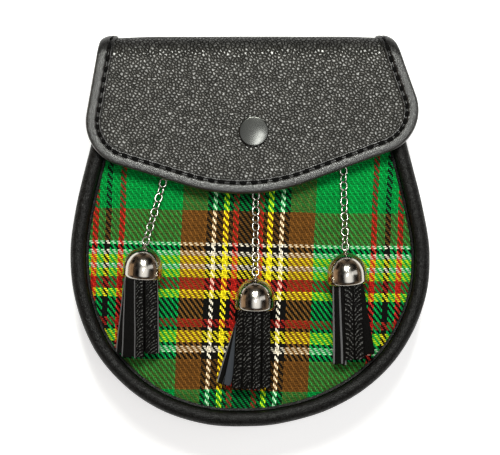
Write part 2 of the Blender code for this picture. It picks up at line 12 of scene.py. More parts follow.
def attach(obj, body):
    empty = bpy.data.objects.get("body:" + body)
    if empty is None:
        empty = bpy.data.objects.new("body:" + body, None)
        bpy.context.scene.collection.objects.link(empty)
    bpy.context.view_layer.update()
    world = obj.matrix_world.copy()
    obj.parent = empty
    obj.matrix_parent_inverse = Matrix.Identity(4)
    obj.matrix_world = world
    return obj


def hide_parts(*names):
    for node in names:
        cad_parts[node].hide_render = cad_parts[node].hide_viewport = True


bl_info = {
    "name": "Sporran pouch looks",
    "version": (1, 0, 0),
    "blender": (4, 5, 0),
    "location": "3D View > Sidebar > Sporran",
    "description": "Makes the visible leather, cloth and metal of a sporran pouch",
    "category": "Object",
}

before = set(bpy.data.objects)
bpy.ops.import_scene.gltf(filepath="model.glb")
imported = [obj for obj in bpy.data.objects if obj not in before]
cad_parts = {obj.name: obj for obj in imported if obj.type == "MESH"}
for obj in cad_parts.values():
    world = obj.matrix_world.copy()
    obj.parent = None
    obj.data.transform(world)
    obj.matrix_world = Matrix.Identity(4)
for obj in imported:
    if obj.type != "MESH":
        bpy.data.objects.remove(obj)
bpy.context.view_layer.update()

MM = 0.001


def linear(code):
    """Linear red, green and blue of an sRGB hex code."""
    values = [int(code[start:start + 2], 16) / 255 for start in (0, 2, 4)]
    return tuple(v / 12.92 if v <= 0.04045 else ((v + 0.055) / 1.055) ** 2.4 for v in values)


def darker(colour, share):
    """The colour with only a share of its light."""
    return tuple(share * part for part in colour)


# Shapes in millimetres, most of them sizes of the solids too. The body's edge is its outer edge on both sides
# at each height.

EdgeRow = namedtuple("EdgeRow", "height left right")
BODY_EDGE = (
    EdgeRow(87.0, 72.6, 71.4),
    EdgeRow(65.0, 77.9, 76.7),
    EdgeRow(43.0, 83.2, 82.0),
    EdgeRow(14.0, 90.2, 89.3),
    EdgeRow(-11.0, 93.4, 93.2),
    EdgeRow(-36.0, 90.8, 90.7),
    EdgeRow(-61.0, 81.1, 79.5),
    EdgeRow(-80.0, 65.3, 62.0),
    EdgeRow(-93.0, 45.9, 39.6),
    EdgeRow(-99.9, 24.3, 14.8),
)
BODY_BOTTOM = (-5.2, -101.3)
WELT_RADIUS = 4.2
BACK_WELT = 4.2                       # height of the middle of the back welt
FRONT_WELT = 38.0
BACK_INSET = 8.3                      # from the welts' outer edge to the edge of the back
FRONT_INSET = 8.2                     # and to the edge of the front
PANEL_TOP = 86.0
BACK_OUTSIDE = 6.2
BACK_LIP = BACK_OUTSIDE - 0.15        # upper side of the back welt's lip
BACK_THICK = 1.8
GUSSET_THICK = 1.8
FRONT_OUTSIDE = 37.2                  # height of the cloth in the middle of the front
FRONT_LIP = 35.3
BOARD_THICK = 1.5
CLOTH_THICK = 0.6

Corner = namedtuple("Corner", "x height radius")
FLAP_PATTERN = (
    Corner(-76.0, 141.3, 0.0),
    Corner(-76.7, 107.0, 30.0),
    Corner(-88.4, 40.4, 23.5),
    Corner(-1.3, 14.0, 100.0),
    Corner(93.5, 49.2, 23.0),
    Corner(73.1, 106.0, 30.0),
    Corner(72.6, 141.3, 0.0),
)
FLAP_MIDDLE = 45.2
FLAP_HALF = 0.9                       # half the flap's thickness
FOLD_START = 87.2
FOLD_SIDES = (77.6, 75.4)             # where the flap's left and right edges cross the fold
FOLD_SAGS = (2.2, 2.72)               # how far the binding sags at both ends of the fold
FOLD_CROWN = 0.5                      # how far the fold bulges past its roll at the sides
FOLD_FULLNESS = 0.8                   # and how much more in its middle
FULL_MIDDLE = (48.0, 74.0)            # across from the middle, where that fullness starts to fade and ends
FOLD_SHOULDER = 1.3                   # how much fuller the roll is half way round
BINDING_WIDTH = 7.5
BINDING_SEAM = 5.6                    # from the flap's edge to the stitches
SIDE_WIDER = 0.4                      # how much wider the binding is on the flap's sides
HIDE_INSET = 1.7                      # how far the grained leather ends inside the binding's edge
FRONT_ROLL = 12.0
BACK_ROLL = 10.0
TAIL_MIDDLE = 5.0
TAIL_HALF_WIDTH = 58.0
TAIL_END = 158.0
LEVEL_HEIGHT = FLAP_MIDDLE - FRONT_ROLL
LEVEL_DROP = LEVEL_HEIGHT - TAIL_MIDDLE - BACK_ROLL
ROLL_ONE = FRONT_ROLL * math.pi / 2
FOLD_TWO = FOLD_START + ROLL_ONE + LEVEL_DROP
TAIL_START = FOLD_TWO + BACK_ROLL * math.pi / 2

LOOP_X = 44.0
LOOP_PROFILE = ((6.0, 5.1), (15.0, 5.1), (17.5, 3.7), (18.5, 1.8), (21.0, 0.8),
                (53.0, 0.8), (55.5, 1.8), (56.5, 3.7), (59.0, 5.1), (67.0, 5.1))
# Across the loop and up from its middle, with edges worn round on the outer side.
LOOP_SECTION = ((-11.0, 0.5), (-10.7, 0.78), (-9.8, 0.8), (9.8, 0.8), (10.7, 0.78), (11.0, 0.5), (11.0, -0.5),
                (10.7, -0.78), (-10.7, -0.78), (-11.0, -0.5))

SNAP_AT = (1.8, 51.8)
SNAP_RADIUS = 7.7
AXIS_HEIGHT = FRONT_OUTSIDE + 10.3    # middle of a cap's rim
TUCKED = 5.0                          # how far the strips reach up into their cap

Tassel = namedtuple("Tassel", "name rim_x rim_y lean drop chain_x chain_y dash edge strips")
# A tassel's dash is the spacing of its pressed strands, and its edge the width of the cut edges that show.
# A strip's values: its middle at the cap's rim and at the end, across from the rim's middle; its height at
# the rim above the cap's axis and at the end above the front; its turn at both; its length; its width at
# both; its face; the slant of its pressed dashes; the sides whose pale cut edge shows (-1 left, 1 right,
# 2 both).
Strip = namedtuple("Strip", "top end lift above turn end_turn length top_width end_width face slant pale")
TASSELS = (
    Tassel("left", -55.9, -24.4, 5.0, 5.0, -41.5, 38.4, 1.8, 0.6, (
        Strip(-1.2, -1.3, 7.5, 7.4, -4.0, 0.0, 40.9, 4.3, 4.5, "pressed", 1, -1),
        Strip(4.7, 4.8, 6.6, 7.0, 16.0, 4.0, 38.8, 6.6, 6.9, "pressed", 1, 1),
        Strip(-5.9, -7.1, 5.8, 6.4, -8.0, 2.0, 40.6, 4.9, 6.0, "plain", 0, -1),
        Strip(-6.6, -11.0, 3.6, 4.4, -10.0, 0.0, 38.4, 4.4, 4.6, "plain", 0, -1),
        Strip(6.6, 6.0, 1.8, 3.6, 56.0, 10.0, 37.6, 4.6, 4.6, "plain", 0, 0),
        Strip(3.4, 2.8, -4.6, 2.2, 0.0, 0.0, 37.8, 6.4, 6.4, "plain", 0, 0),
        Strip(-3.4, -5.6, -4.6, 2.2, 0.0, 0.0, 38.0, 6.4, 6.4, "plain", 0, 0),
    )),
    Tassel("centre", 2.4, -40.6, 1.0, 5.0, 3.0, 33.2, 2.05, 0.5, (
        Strip(-3.4, -4.2, 7.3, 7.5, -10.0, -2.0, 41.0, 4.9, 5.0, "pressed", 1, 0),
        Strip(1.3, 0.9, 7.5, 7.6, 4.0, 2.0, 41.2, 4.5, 4.6, "pressed", 1, 0),
        Strip(5.8, 5.7, 5.8, 6.6, 28.0, 12.0, 40.6, 4.6, 4.8, "pressed", 1, 0),
        Strip(-6.9, -9.4, 5.0, 6.4, -34.0, -10.0, 40.6, 4.4, 4.9, "pressed", 1, 0),
        Strip(-6.6, -14.4, 2.8, 4.6, -30.0, 6.0, 39.0, 3.8, 3.6, "slate", 0, 0),
        Strip(-6.2, -18.3, 0.8, 3.0, -30.0, 10.0, 38.2, 3.6, 2.4, "plain", 0, 2),
        Strip(3.8, 3.4, -4.6, 2.2, 0.0, 0.0, 38.6, 6.4, 6.4, "plain", 0, 0),
        Strip(-3.6, -4.4, -4.6, 2.2, 0.0, 0.0, 38.4, 6.4, 6.4, "plain", 0, 0),
    )),
    Tassel("right", 50.4, -27.4, -4.0, 5.0, 48.2, 40.2, 2.5, 0.9, (
        Strip(0.1, 1.2, 7.5, 7.5, -2.0, 0.0, 39.2, 4.8, 4.9, "pressed", -1, 0),
        Strip(4.6, 6.4, 6.6, 7.2, 18.0, 4.0, 38.8, 4.6, 5.3, "pressed", 1, 0),
        Strip(-2.9, -1.9, 6.8, 6.4, -6.0, 4.0, 41.4, 2.2, 1.0, "plain", 0, 2),
        Strip(-5.6, -4.7, 5.2, 5.6, -10.0, 0.0, 41.2, 3.2, 3.6, "plain", 0, -1),
        Strip(5.9, 11.6, 5.0, 5.4, 20.0, 4.0, 36.2, 4.0, 5.4, "plain", 0, -1),
        Strip(4.0, 4.8, -4.6, 2.2, 0.0, 0.0, 37.6, 6.4, 6.4, "plain", 0, 0),
        Strip(-3.4, -2.6, -4.6, 2.2, 0.0, 0.0, 38.2, 6.4, 6.4, "plain", 0, 0),
    )),
)

# The tartan's stripes: colour and number of threads. The warp's run outwards from its middle to both sides,
# and the weft's run down from the first line that shows under the flap.
WARP_STRIPES = (
    ("black", 7), ("red", 4), ("black", 3), ("yellow", 4), ("black", 4), ("white", 4), ("black", 4),
    ("brown", 18), ("green", 41), ("red", 4), ("green", 5), ("black", 5), ("green", 5), ("red", 4),
    ("green", 40),
)
WEFT_STRIPES = (
    ("green", 30), ("brown", 18), ("white", 2), ("black", 4), ("white", 3), ("yellow", 5), ("white", 3),
    ("yellow", 5), ("red", 6), ("yellow", 6), ("black", 12), ("red", 5), ("black", 2), ("yellow", 7),
    ("black", 2), ("white", 4), ("black", 4), ("brown", 18), ("green", 30),
)
WARP_MIDDLE = (-0.94, 4.94)           # a point on the warp's middle line
WEFT_START = 10.56                    # height of the weft's first brown thread at X = 0

PORE = 0.8                            # spacing of the pores of smooth leather
BENT_OVER = 98.5                      # height at which the painted shade over the top is at its darkest


# Settings

def colour_setting(name, description, code):
    """A colour that a user can change, from its hex code."""
    return FloatVectorProperty(name=name, description=description, default=linear(code), subtype="COLOR")


def size_setting(name, description, metres):
    """A size that a user can change, in metres."""
    return FloatProperty(name=name, description=description, default=metres, unit="LENGTH")


def angle_setting(name, description, degrees):
    """An angle that a user can change."""
    return FloatProperty(name=name, description=description, default=math.radians(degrees), unit="ROTATION")


class SporranLeather(bpy.types.PropertyGroup):
    """Sizes and colours of the leather."""
    black: colour_setting("Black leather", "Colour of the smooth black leather", "171615")
    grained: colour_setting("Grained leather", "Colour of the pebbled leather of the flap", "454440")
    slate: colour_setting("Slate leather", "Colour of the smooth side of the tassel strips", "3a3e44")
    cut_edge: colour_setting("Cut edge", "Colour of the cut edges of the tassel strips", "6f7073")
    pebble: size_setting("Pebble size", "Spacing of the pebbles of the grain", 1.5 * MM)
    pebble_depth: size_setting("Pebble depth", "Depth of the valleys between the pebbles", 0.3 * MM)


class SporranTartan(bpy.types.PropertyGroup):
    """Threads of the tartan."""
    warp_pitch: size_setting("Warp spacing", "Spacing of the threads that run up and down", 0.72 * MM)
    weft_pitch: size_setting("Weft spacing", "Spacing of the threads that run across", 0.88 * MM)
    warp_lean: angle_setting("Warp lean", "How far the upright threads lean to the right", 2.45)
    weft_drop: angle_setting("Weft drop", "How far the cross threads drop to the right", 1.2)
    green: colour_setting("Green", "Green thread", "00893f")
    brown: colour_setting("Brown", "Brown thread", "67461d")
    red: colour_setting("Red", "Red thread", "a5261e")
    yellow: colour_setting("Yellow", "Yellow thread", "ecdc24")
    white: colour_setting("White", "White thread", "e8dfcc")
    black: colour_setting("Black", "Black thread", "0d0d0c")


class SporranMetal(bpy.types.PropertyGroup):
    """Sizes of the chains, bell caps and press stud."""
    link_length: size_setting("Link length", "Outer length of a link", 5.3 * MM)
    link_width: size_setting("Link width", "Outer width of a link", 4.3 * MM)
    link_wire: size_setting("Link wire", "Thickness of a link's wire", 1.0 * MM)
    link_pitch: size_setting("Link spacing", "Distance from link to link", 4.05 * MM)
    cap_radius: size_setting("Cap radius", "Radius of a bell cap's wall", 10.4 * MM)
    cap_height: size_setting("Cap height", "Height of a bell cap", 16.4 * MM)
    snap_radius: size_setting("Snap radius", "Radius of the press stud's cap", SNAP_RADIUS * MM)


class SporranStitches(bpy.types.PropertyGroup):
    """Sizes of the stitches."""
    side_pitch: size_setting("Side spacing", "Stitch spacing on the sides of the flap", 5.4 * MM)
    lower_pitch: size_setting("Lower spacing", "Stitch spacing on the lower edge of the flap", 5.9 * MM)
    side_length: size_setting("Side length", "Length of a stitch on the sides of the flap", 2.8 * MM)
    lower_length: size_setting("Lower length", "Length of a stitch on the lower edge of the flap", 3.5 * MM)
    width: size_setting("Thread width", "Width of a stitch", 1.8 * MM)
    slant: angle_setting("Stitch slant", "How far a stitch is turned from its seam", -13.0)


class SporranStage(bpy.types.PropertyGroup):
    """Camera, floor and lights."""
    distance: size_setting("Camera distance", "Distance of the camera from the flap", 2.0)
    view_width: size_setting("View width", "Width of the view at the flap", 0.2591)
    floor_size: size_setting("Floor size", "Side of the floor", 8.0)
    floor: colour_setting("Floor", "Colour of the floor", "e6e6e6")
    floor_glow: FloatProperty(name="Floor glow", description="Light that comes through the floor",
                              default=0.62)
    top_power: FloatProperty(name="Windows", description="Power of both windows together", default=15.2,
                             unit="POWER")
    side_power: FloatProperty(name="Side lights", description="Power that the lamp and the walls share",
                              default=1.8, unit="POWER")
    sky: FloatProperty(name="Room light", description="Brightness of the room all round", default=0.4)


# Materials

def join(tree, node, values):
    """Sets each input to a value, or links it to another node: to its first output, unless one is named."""
    for key, value in values.items():
        source = value.outputs[0] if isinstance(value, bpy.types.Node) else value
        if isinstance(source, bpy.types.NodeSocket):
            tree.links.new(source, node.inputs[key])
        else:
            node.inputs[key].default_value = source


def add(tree, kind, inputs=None, **settings):
    """Adds a node with its settings and links and returns it."""
    node = tree.nodes.new("ShaderNode" + kind)
    for name, value in settings.items():
        setattr(node, name, value)
    join(tree, node, inputs or {})
    return node


def new_material(name):
    """A material, its node tree, its shader and the place of the shaded point in metres."""
    made = bpy.data.materials.new(name)
    made.use_nodes = True
    tree = made.node_tree
    return made, tree, tree.nodes["Principled BSDF"], add(tree, "TexCoord").outputs["Object"]


def cloudy(tree, place, size, detail, low, high):
    """A value that drifts between low and high in soft patches of the size, in millimetres."""
    clouds = add(tree, "TexNoise", {"Vector": place, "Scale": 1 / (size * MM), "Detail": detail})
    return add(tree, "MapRange", {"Value": clouds, "To Min": low, "To Max": high})


def fine_relief(tree, place, grit, detail, strength, depth):
    """A bump of fine grit for pores, scratches, strands or fibres; grit and depth in millimetres."""
    grain = add(tree, "TexNoise", {"Vector": place, "Scale": 1 / (grit * MM), "Detail": detail})
    return add(tree, "Bump", {"Height": grain, "Strength": strength, "Distance": depth * MM})


def painted_fold_shade(tree, place, start):
    """1 on the flat, and less where the leather is bent over the top: painted shade that makes it darker and
    duller there.
    """
    height = add(tree, "SeparateXYZ", {0: place}).outputs["Y"]
    bent = {"Value": height, "From Min": start * MM, "From Max": BENT_OVER * MM, "To Min": 1.0,
            "To Max": 0.25}
    return add(tree, "MapRange", bent, interpolation_type="SMOOTHSTEP")


def smooth_leather(name, colour, roughness, wrinkle, polish=0.5, glaze=0.0, grain=0.35, bend=None):
    """Vegetable-tanned, dyed and waxed: a fine pore that breaks up a soft, broad highlight; given a bend
    height, painted shade over the top.
    """
    made, tree, shader, place = new_material(name)
    pores = add(tree, "TexVoronoi", {"Vector": place, "Scale": 1 / (PORE * MM)}, feature="DISTANCE_TO_EDGE")
    pore_height = add(tree, "MapRange", {"Value": pores, "From Max": 0.22})
    creases = add(tree, "TexNoise", {"Vector": place, "Scale": 1 / (2.2 * MM), "Detail": 3.0})
    worn = add(tree, "MapRange", {"Value": creases, "To Min": roughness - 0.06, "To Max": roughness + 0.08})
    rubbed = add(tree, "MapRange", {"Value": pore_height, "To Min": polish * (1.0 - 0.8 * grain),
                                    "To Max": polish * (1.0 + 0.5 * grain)})
    # Painted shade: darker colour and less gloss where the leather is bent over the top.
    flat = painted_fold_shade(tree, place, bend) if bend else 1.0
    shade = add(tree, "Math", {0: cloudy(tree, place, 6, 5.0, 0.82, 1.2), 1: flat}, operation="MULTIPLY")
    fine = add(tree, "Bump", {"Height": pore_height, "Strength": grain, "Distance": 0.06 * MM})
    broad = add(tree, "Bump", {"Height": creases, "Strength": wrinkle, "Distance": 0.5 * MM, "Normal": fine})
    join(tree, shader, {
        "Base Color": add(tree, "VectorMath", {0: tuple(colour), "Scale": shade}, operation="SCALE"),
        "Roughness": worn,
        "Specular IOR Level": add(tree, "Math", {0: rubbed, 1: flat}, operation="MULTIPLY"),
        "Coat Weight": add(tree, "Math", {0: glaze, 1: flat}, operation="MULTIPLY"),
        "Coat Roughness": roughness,
        "Normal": broad,
        "Coat Normal": broad,
    })
    return made


def pebbled_leather(colour, pebble, depth):
    """Cowhide tumbled until its grain shrinks into pebbles: a bright, glossy dot on each, and painted shade
    that blackens the valleys between them.
    """
    made, tree, shader, place = new_material("Pebbled cowhide, drum dyed")
    # The grain lies in the flat hide, and its pebbles are a little longer the way the hide was stretched.
    hide = add(tree, "Attribute", attribute_name="hide").outputs["Vector"]
    bend = add(tree, "TexNoise", {"Vector": hide, "Scale": 1 / (4 * pebble), "Detail": 3.0}).outputs["Color"]
    bent = add(tree, "VectorMath", {0: bend, 1: (1.1 * pebble,) * 3, 2: hide}, operation="MULTIPLY_ADD")
    pulled = add(tree, "Mapping", {"Vector": bent, "Rotation": (0.0, 0.0, -0.6), "Scale": (1.25, 1.0, 1.0)},
                 vector_type="TEXTURE")
    layout = {"Vector": pulled, "Scale": 1 / pebble, "Randomness": 0.85}
    valleys = add(tree, "TexVoronoi", layout, feature="DISTANCE_TO_EDGE", voronoi_dimensions="2D")
    hump = add(tree, "MapRange", {"Value": valleys, "From Max": 0.36})
    # Some pebbles stand prouder than others, so they are rubbed paler and brighter.
    chance = add(tree, "TexVoronoi", layout, voronoi_dimensions="2D").outputs["Color"]
    rubbed = add(tree, "MapRange", {"Value": chance, "From Min": 0.2, "From Max": 0.8, "To Min": 0.72,
                                    "To Max": 1.56})
    # Painted shade: the colour darkens from each pebble's crown down into the valleys between them.
    painted_valley_shade = add(tree, "Math", {0: hump, 1: rubbed, 2: 0.1}, operation="MULTIPLY_ADD")
    both = add(tree, "Math", {0: cloudy(tree, hide, 8, 5.0, 0.8, 1.25), 1: painted_valley_shade}, operation="MULTIPLY")
    # Painted shade darkens the colour and dulls the gloss where the leather is bent over the top.
    shade = add(tree, "Math", {0: both, 1: painted_fold_shade(tree, place, 91.0)}, operation="MULTIPLY")
    polished = add(tree, "MapRange", {"Value": hump, "To Min": 0.02, "To Max": 1.5})
    gloss = add(tree, "Math", {0: polished, 1: painted_fold_shade(tree, place, 88.0)}, operation="MULTIPLY")
    join(tree, shader, {
        "Base Color": add(tree, "VectorMath", {0: tuple(colour), "Scale": shade}, operation="SCALE"),
        "Roughness": add(tree, "MapRange", {"Value": hump, "To Min": 0.6, "To Max": 0.36}),
        "Specular IOR Level": add(tree, "Math", {0: gloss, 1: rubbed}, operation="MULTIPLY"),
        "Normal": add(tree, "Bump", {"Height": hump, "Strength": 1.0, "Distance": depth}),
    })
    return made


def striped_ramp(tree, position, stripes, colours):
    """Looks the thread's colour up in a row of stripes."""
    total = sum(count for _, count in stripes)
    share = add(tree, "Math", {0: position, 1: float(total)}, operation="DIVIDE")
    ramp = add(tree, "ValToRGB", {"Fac": share})
    ramp.color_ramp.interpolation = "CONSTANT"
    stops = ramp.color_ramp.elements
    stops.remove(stops[1])
    start = 0
    for index, (colour, count) in enumerate(stripes):
        stop = stops[0] if index == 0 else stops.new(start / total)
        stop.color = (*getattr(colours, colour), 1.0)
        start += count
    return ramp


def thread_counts(tree, place, tartan):
    """How many warp threads lie between the middle line and the place, and how many wefts above it."""
    drift = add(tree, "TexNoise", {"Vector": place, "Scale": 30.0, "Detail": 1.0}).outputs["Color"]
    centred = add(tree, "VectorMath", {0: drift, 1: (0.5, 0.5, 0.5)}, operation="SUBTRACT")
    moved = add(tree, "VectorMath", {0: centred, 1: (1.4 * MM,) * 3, 2: place}, operation="MULTIPLY_ADD")
    split = add(tree, "SeparateXYZ", {0: moved})
    across, up = split.outputs["X"], split.outputs["Y"]

    lean, drop = math.tan(tartan.warp_lean), math.tan(tartan.weft_drop)
    middle = (WARP_MIDDLE[1] * lean - WARP_MIDDLE[0]) * MM
    leaned = add(tree, "Math", {0: up, 1: -lean, 2: middle}, operation="MULTIPLY_ADD")
    upright = add(tree, "Math", {0: across, 1: leaned}, operation="ADD")
    first = WEFT_STRIPES[0][1] * tartan.weft_pitch + WEFT_START * MM
    dropped = add(tree, "Math", {0: across, 1: drop, 2: up}, operation="MULTIPLY_ADD")
    below = add(tree, "Math", {0: first, 1: dropped}, operation="SUBTRACT")
    return (add(tree, "Math", {0: upright, 1: tartan.warp_pitch}, operation="DIVIDE"),
            add(tree, "Math", {0: below, 1: tartan.weft_pitch}, operation="DIVIDE"))


def dyed_thread(tree, index, mirrored, stripes, tartan):
    """The colour of the thread with this number, and the strongest of its dye's red, green and blue."""
    counted = add(tree, "Math", {0: index, 1: 0.5}, operation="ADD")
    if mirrored:
        counted = add(tree, "Math", {0: counted}, operation="ABSOLUTE")
    dye = striped_ramp(tree, counted, stripes, tartan)
    # No two threads take up quite as much dye.
    lot = add(tree, "TexWhiteNoise", {"W": index}, noise_dimensions="1D")
    depth = add(tree, "Math", {0: lot, 1: 0.44, 2: 0.78}, operation="MULTIPLY_ADD")
    parts = add(tree, "SeparateColor", {"Color": dye}).outputs
    stronger = add(tree, "Math", {0: parts[0], 1: parts[1]}, operation="MAXIMUM")
    return (add(tree, "VectorMath", {0: dye, "Scale": depth}, operation="SCALE"),
            add(tree, "Math", {0: stronger, 1: parts[2]}, operation="MAXIMUM"))


def crossing(tree, top, under, strength, open_share):
    """The colour of a thread on top of another: tinted by the light that the one under it throws up."""
    whole = add(tree, "Math", {0: 1.0, 1: strength}, operation="DIVIDE")
    hue = add(tree, "VectorMath", {0: under, "Scale": whole}, operation="SCALE")
    soft = add(tree, "VectorMath", {0: hue, 1: (0.5,) * 3}, operation="POWER")
    glow = add(tree, "VectorMath", {0: soft, 1: (0.5,) * 3, 2: (0.5,) * 3}, operation="MULTIPLY_ADD")
    lit = add(tree, "VectorMath", {0: top, 1: glow}, operation="MULTIPLY")
    return add(tree, "Mix", {0: open_share, 6: lit, 7: under}, data_type="RGBA").outputs[2]


def half_wave(tree, share):
    """A round back: 0 where the share is 0 or 1 and 1 half way."""
    angle = add(tree, "Math", {0: share, 1: math.pi}, operation="MULTIPLY")
    return add(tree, "Math", {0: angle}, operation="SINE")


def tartan_cloth(tartan):
    """Worsted wool in a two-and-two twill: each crossing shows the thread on top, so colours mix in slanting
    lines. The threads are drawn as coarse as they need to be to show."""
    made, tree, shader, place = new_material("Worsted wool tartan, woven")
    warp_place, weft_place = thread_counts(tree, place, tartan)
    warp_index = add(tree, "Math", {0: warp_place}, operation="FLOOR")
    weft_index = add(tree, "Math", {0: weft_place}, operation="FLOOR")
    # A float of the tighter warp swells over more than its two wefts.
    swell = 0.15
    diagonal = add(tree, "Math", {0: weft_place, 1: warp_index}, operation="SUBTRACT")
    started = add(tree, "Math", {0: diagonal, 1: swell}, operation="ADD")
    step = add(tree, "Math", {0: started, 1: 4.0}, operation="FLOORED_MODULO")
    passed = add(tree, "Math", {0: step, 1: 2 + 2 * swell}, operation="DIVIDE")
    warp_arch = half_wave(tree, add(tree, "Math", {0: passed, 1: 1.0}, operation="MINIMUM"))
    warp_round, weft_round = (half_wave(tree, add(tree, "Math", {0: passed}, operation="FRACT"))
                              for passed in (warp_place, weft_place))
    warp_on_top = add(tree, "MapRange", {"Value": warp_arch, "From Min": 0.02, "From Max": 0.3})

    warp, warp_strength = dyed_thread(tree, warp_index, True, WARP_STRIPES, tartan)
    weft, weft_strength = dyed_thread(tree, weft_index, False, WEFT_STRIPES, tartan)
    # The softly dyed green and brown threads let a little of each other show between their fibres.
    strengths = {0: warp_strength, 1: weft_strength}
    soft_dyes = add(tree, "Math", {0: add(tree, "Math", strengths, operation="MAXIMUM"), 1: 0.3},
                    operation="LESS_THAN")
    no_black = add(tree, "Math", {0: add(tree, "Math", strengths, operation="MINIMUM"), 1: 0.05},
                   operation="GREATER_THAN")
    between = add(tree, "Math", {0: no_black, 1: 0.2}, operation="MULTIPLY")
    open_share = add(tree, "Math", {0: soft_dyes, 1: between}, operation="MULTIPLY")
    warp_over = crossing(tree, warp, weft, weft_strength, open_share)
    weft_over = crossing(tree, weft, warp, warp_strength, open_share)
    thread = add(tree, "Mix", {0: warp_on_top, 6: weft_over, 7: warp_over}, data_type="RGBA").outputs[2]

    raised = add(tree, "Math", {0: warp_arch, 1: 0.6, 2: 0.4}, operation="MULTIPLY_ADD")
    warp_relief = add(tree, "Math", {0: warp_round, 1: raised}, operation="MULTIPLY")
    weft_relief = add(tree, "Math", {0: weft_round, 1: 0.54}, operation="MULTIPLY")
    relief = add(tree, "Mix", {0: warp_on_top, 2: weft_relief, 3: warp_relief}, data_type="FLOAT")
    fuzz = add(tree, "TexNoise", {"Vector": place, "Scale": 1 / (0.45 * MM), "Detail": 2.0})
    hairs = add(tree, "Math", {0: fuzz, 1: 2.0, 2: 0.0}, operation="MULTIPLY_ADD")
    # Painted shade: from the same relief as the bump, each thread darkens towards its sides and where it
    # sinks under the next.
    painted_thread_shade = add(tree, "Math", {0: relief, 1: 2.25, 2: -0.06}, operation="MULTIPLY_ADD")
    shade = add(tree, "Math", {0: painted_thread_shade, 1: hairs}, operation="MULTIPLY")
    join(tree, shader, {
        "Base Color": add(tree, "VectorMath", {0: thread, "Scale": shade}, operation="SCALE"),
        "Roughness": 0.95,
        "Specular IOR Level": 0.12,
        "Normal": add(tree, "Bump", {"Height": relief, "Strength": 0.6, "Distance": 0.2 * MM}),
    })
    return made


def metal(name, code, roughness, brushed=0.0):
    """Metal plate: mirror-bright where it is polished, with soft stretches of light where it is brushed."""
    made, tree, shader, place = new_material(name)
    smears = cloudy(tree, place, 4, 4.0, roughness * 0.7, roughness * 1.4)
    join(tree, shader, {"Base Color": (*linear(code), 1.0), "Metallic": 1.0, "Roughness": smears})
    if brushed:
        join(tree, shader, {"Normal": fine_relief(tree, place, 0.5, 3.0, brushed, 0.05)})
    return made


def pressed_leather(colour):
    """Calf leather with a braid pressed in by a hot plate: its strands shine, with a painted highlight that
    greys their crests, and its ground is matt.
    """
    made, tree, shader, place = new_material("Calf leather, pressed with a braid")
    crest = add(tree, "Attribute", attribute_name="crest").outputs["Fac"]
    wear = add(tree, "TexNoise", {"Vector": place, "Scale": 1 / (0.7 * MM), "Detail": 1.0})
    rubbed = add(tree, "MapRange", {"Value": wear, "From Min": 0.46, "From Max": 0.6})
    raised = add(tree, "MapRange", {"Value": crest, "From Min": 0.88}, interpolation_type="SMOOTHSTEP")
    shine = add(tree, "Math", {0: raised, 1: rubbed}, operation="MULTIPLY")
    # Painted highlight: where the crests shine their colour turns pale grey; the same mask raises their
    # gloss.
    paler = add(tree, "Mix", {0: shine, 6: (*colour, 1.0), 7: (*linear("62625f"), 1.0)}, data_type="RGBA")
    join(tree, shader, {
        "Base Color": paler.outputs[2],
        "Roughness": add(tree, "MapRange", {"Value": crest, "To Min": 0.6, "To Max": 0.3}),
        "Specular IOR Level": add(tree, "MapRange", {"Value": shine, "To Min": 0.05, "To Max": 0.8}),
        "Normal": fine_relief(tree, place, 0.5, 2.0, 0.3, 0.08),
    })
    return made


def waxed_thread():
    """Waxed polyester thread, twisted: black with a small satin highlight."""
    made, tree, shader, place = new_material("Waxed polyester thread, twisted")
    join(tree, shader, {"Base Color": (*linear("060606"), 1.0), "Roughness": 0.8, "Specular IOR Level": 0.1,
                        "Normal": fine_relief(tree, place, 0.4, 2.0, 0.4, 0.1)})
    return made


def studio_paper(colour, glow):
    """Seamless paper, lit a little from behind: matt, and so pale that shadows on it are faint."""
    made, tree, shader, place = new_material("Seamless studio paper, uncoated")
    join(tree, shader, {"Base Color": (*colour, 1.0), "Roughness": 0.95, "Specular IOR Level": 0.1,
                        "Emission Color": (1.0, 1.0, 1.0, 1.0), "Emission Strength": glow,
                        "Normal": fine_relief(tree, place, 2, 3.0, 0.05, 0.1)})
    return made


# Outlines, all in millimetres

def smoothstep(low, high, value):
    """0 up to low, 1 from high on, and a soft rise between them."""
    share = min(1.0, max(0.0, (value - low) / (high - low)))
    return share * share * (3 - 2 * share)


def smooth_curve(points, pieces):
    """A Catmull-Rom curve through the points, cut into equal stretches."""
    ends = [2 * points[0] - points[1], *points, 2 * points[-1] - points[-2]]
    fine, steps = [], 12
    for before, start, end, after in zip(ends, ends[1:], ends[2:], ends[3:]):
        for t in (step / steps for step in range(steps)):
            fine.append(0.5 * (2 * start + (end - before) * t
                               + (2 * before - 5 * start + 4 * end - after) * t * t
                               + (3 * start - before - 3 * end + after) * t ** 3))
    fine.append(points[-1])
    return even_stretches(fine, pieces)


def even_stretches(points, pieces):
    """Points at equal distances along a line of points."""
    runs = [(b - a).length for a, b in zip(points, points[1:])]
    total = sum(runs)
    placed, index, before = [points[0].copy()], 0, 0.0
    for step in range(1, pieces):
        target = total * step / pieces
        while before + runs[index] < target:
            before += runs[index]
            index += 1
        placed.append(points[index].lerp(points[index + 1], (target - before) / runs[index]))
    placed.append(points[-1].copy())
    return placed


def sides(line):
    """Unit vectors to the left of a line, one for each point."""
    runs = [after - before for before, after in zip([line[0], *line], [*line[1:], line[-1]])]
    return [Vector((-run.y, run.x)).normalized() for run in runs]


def inset(points, distance):
    """The open outline moved inwards."""
    return [point + side * distance for point, side in zip(points, sides(points))]


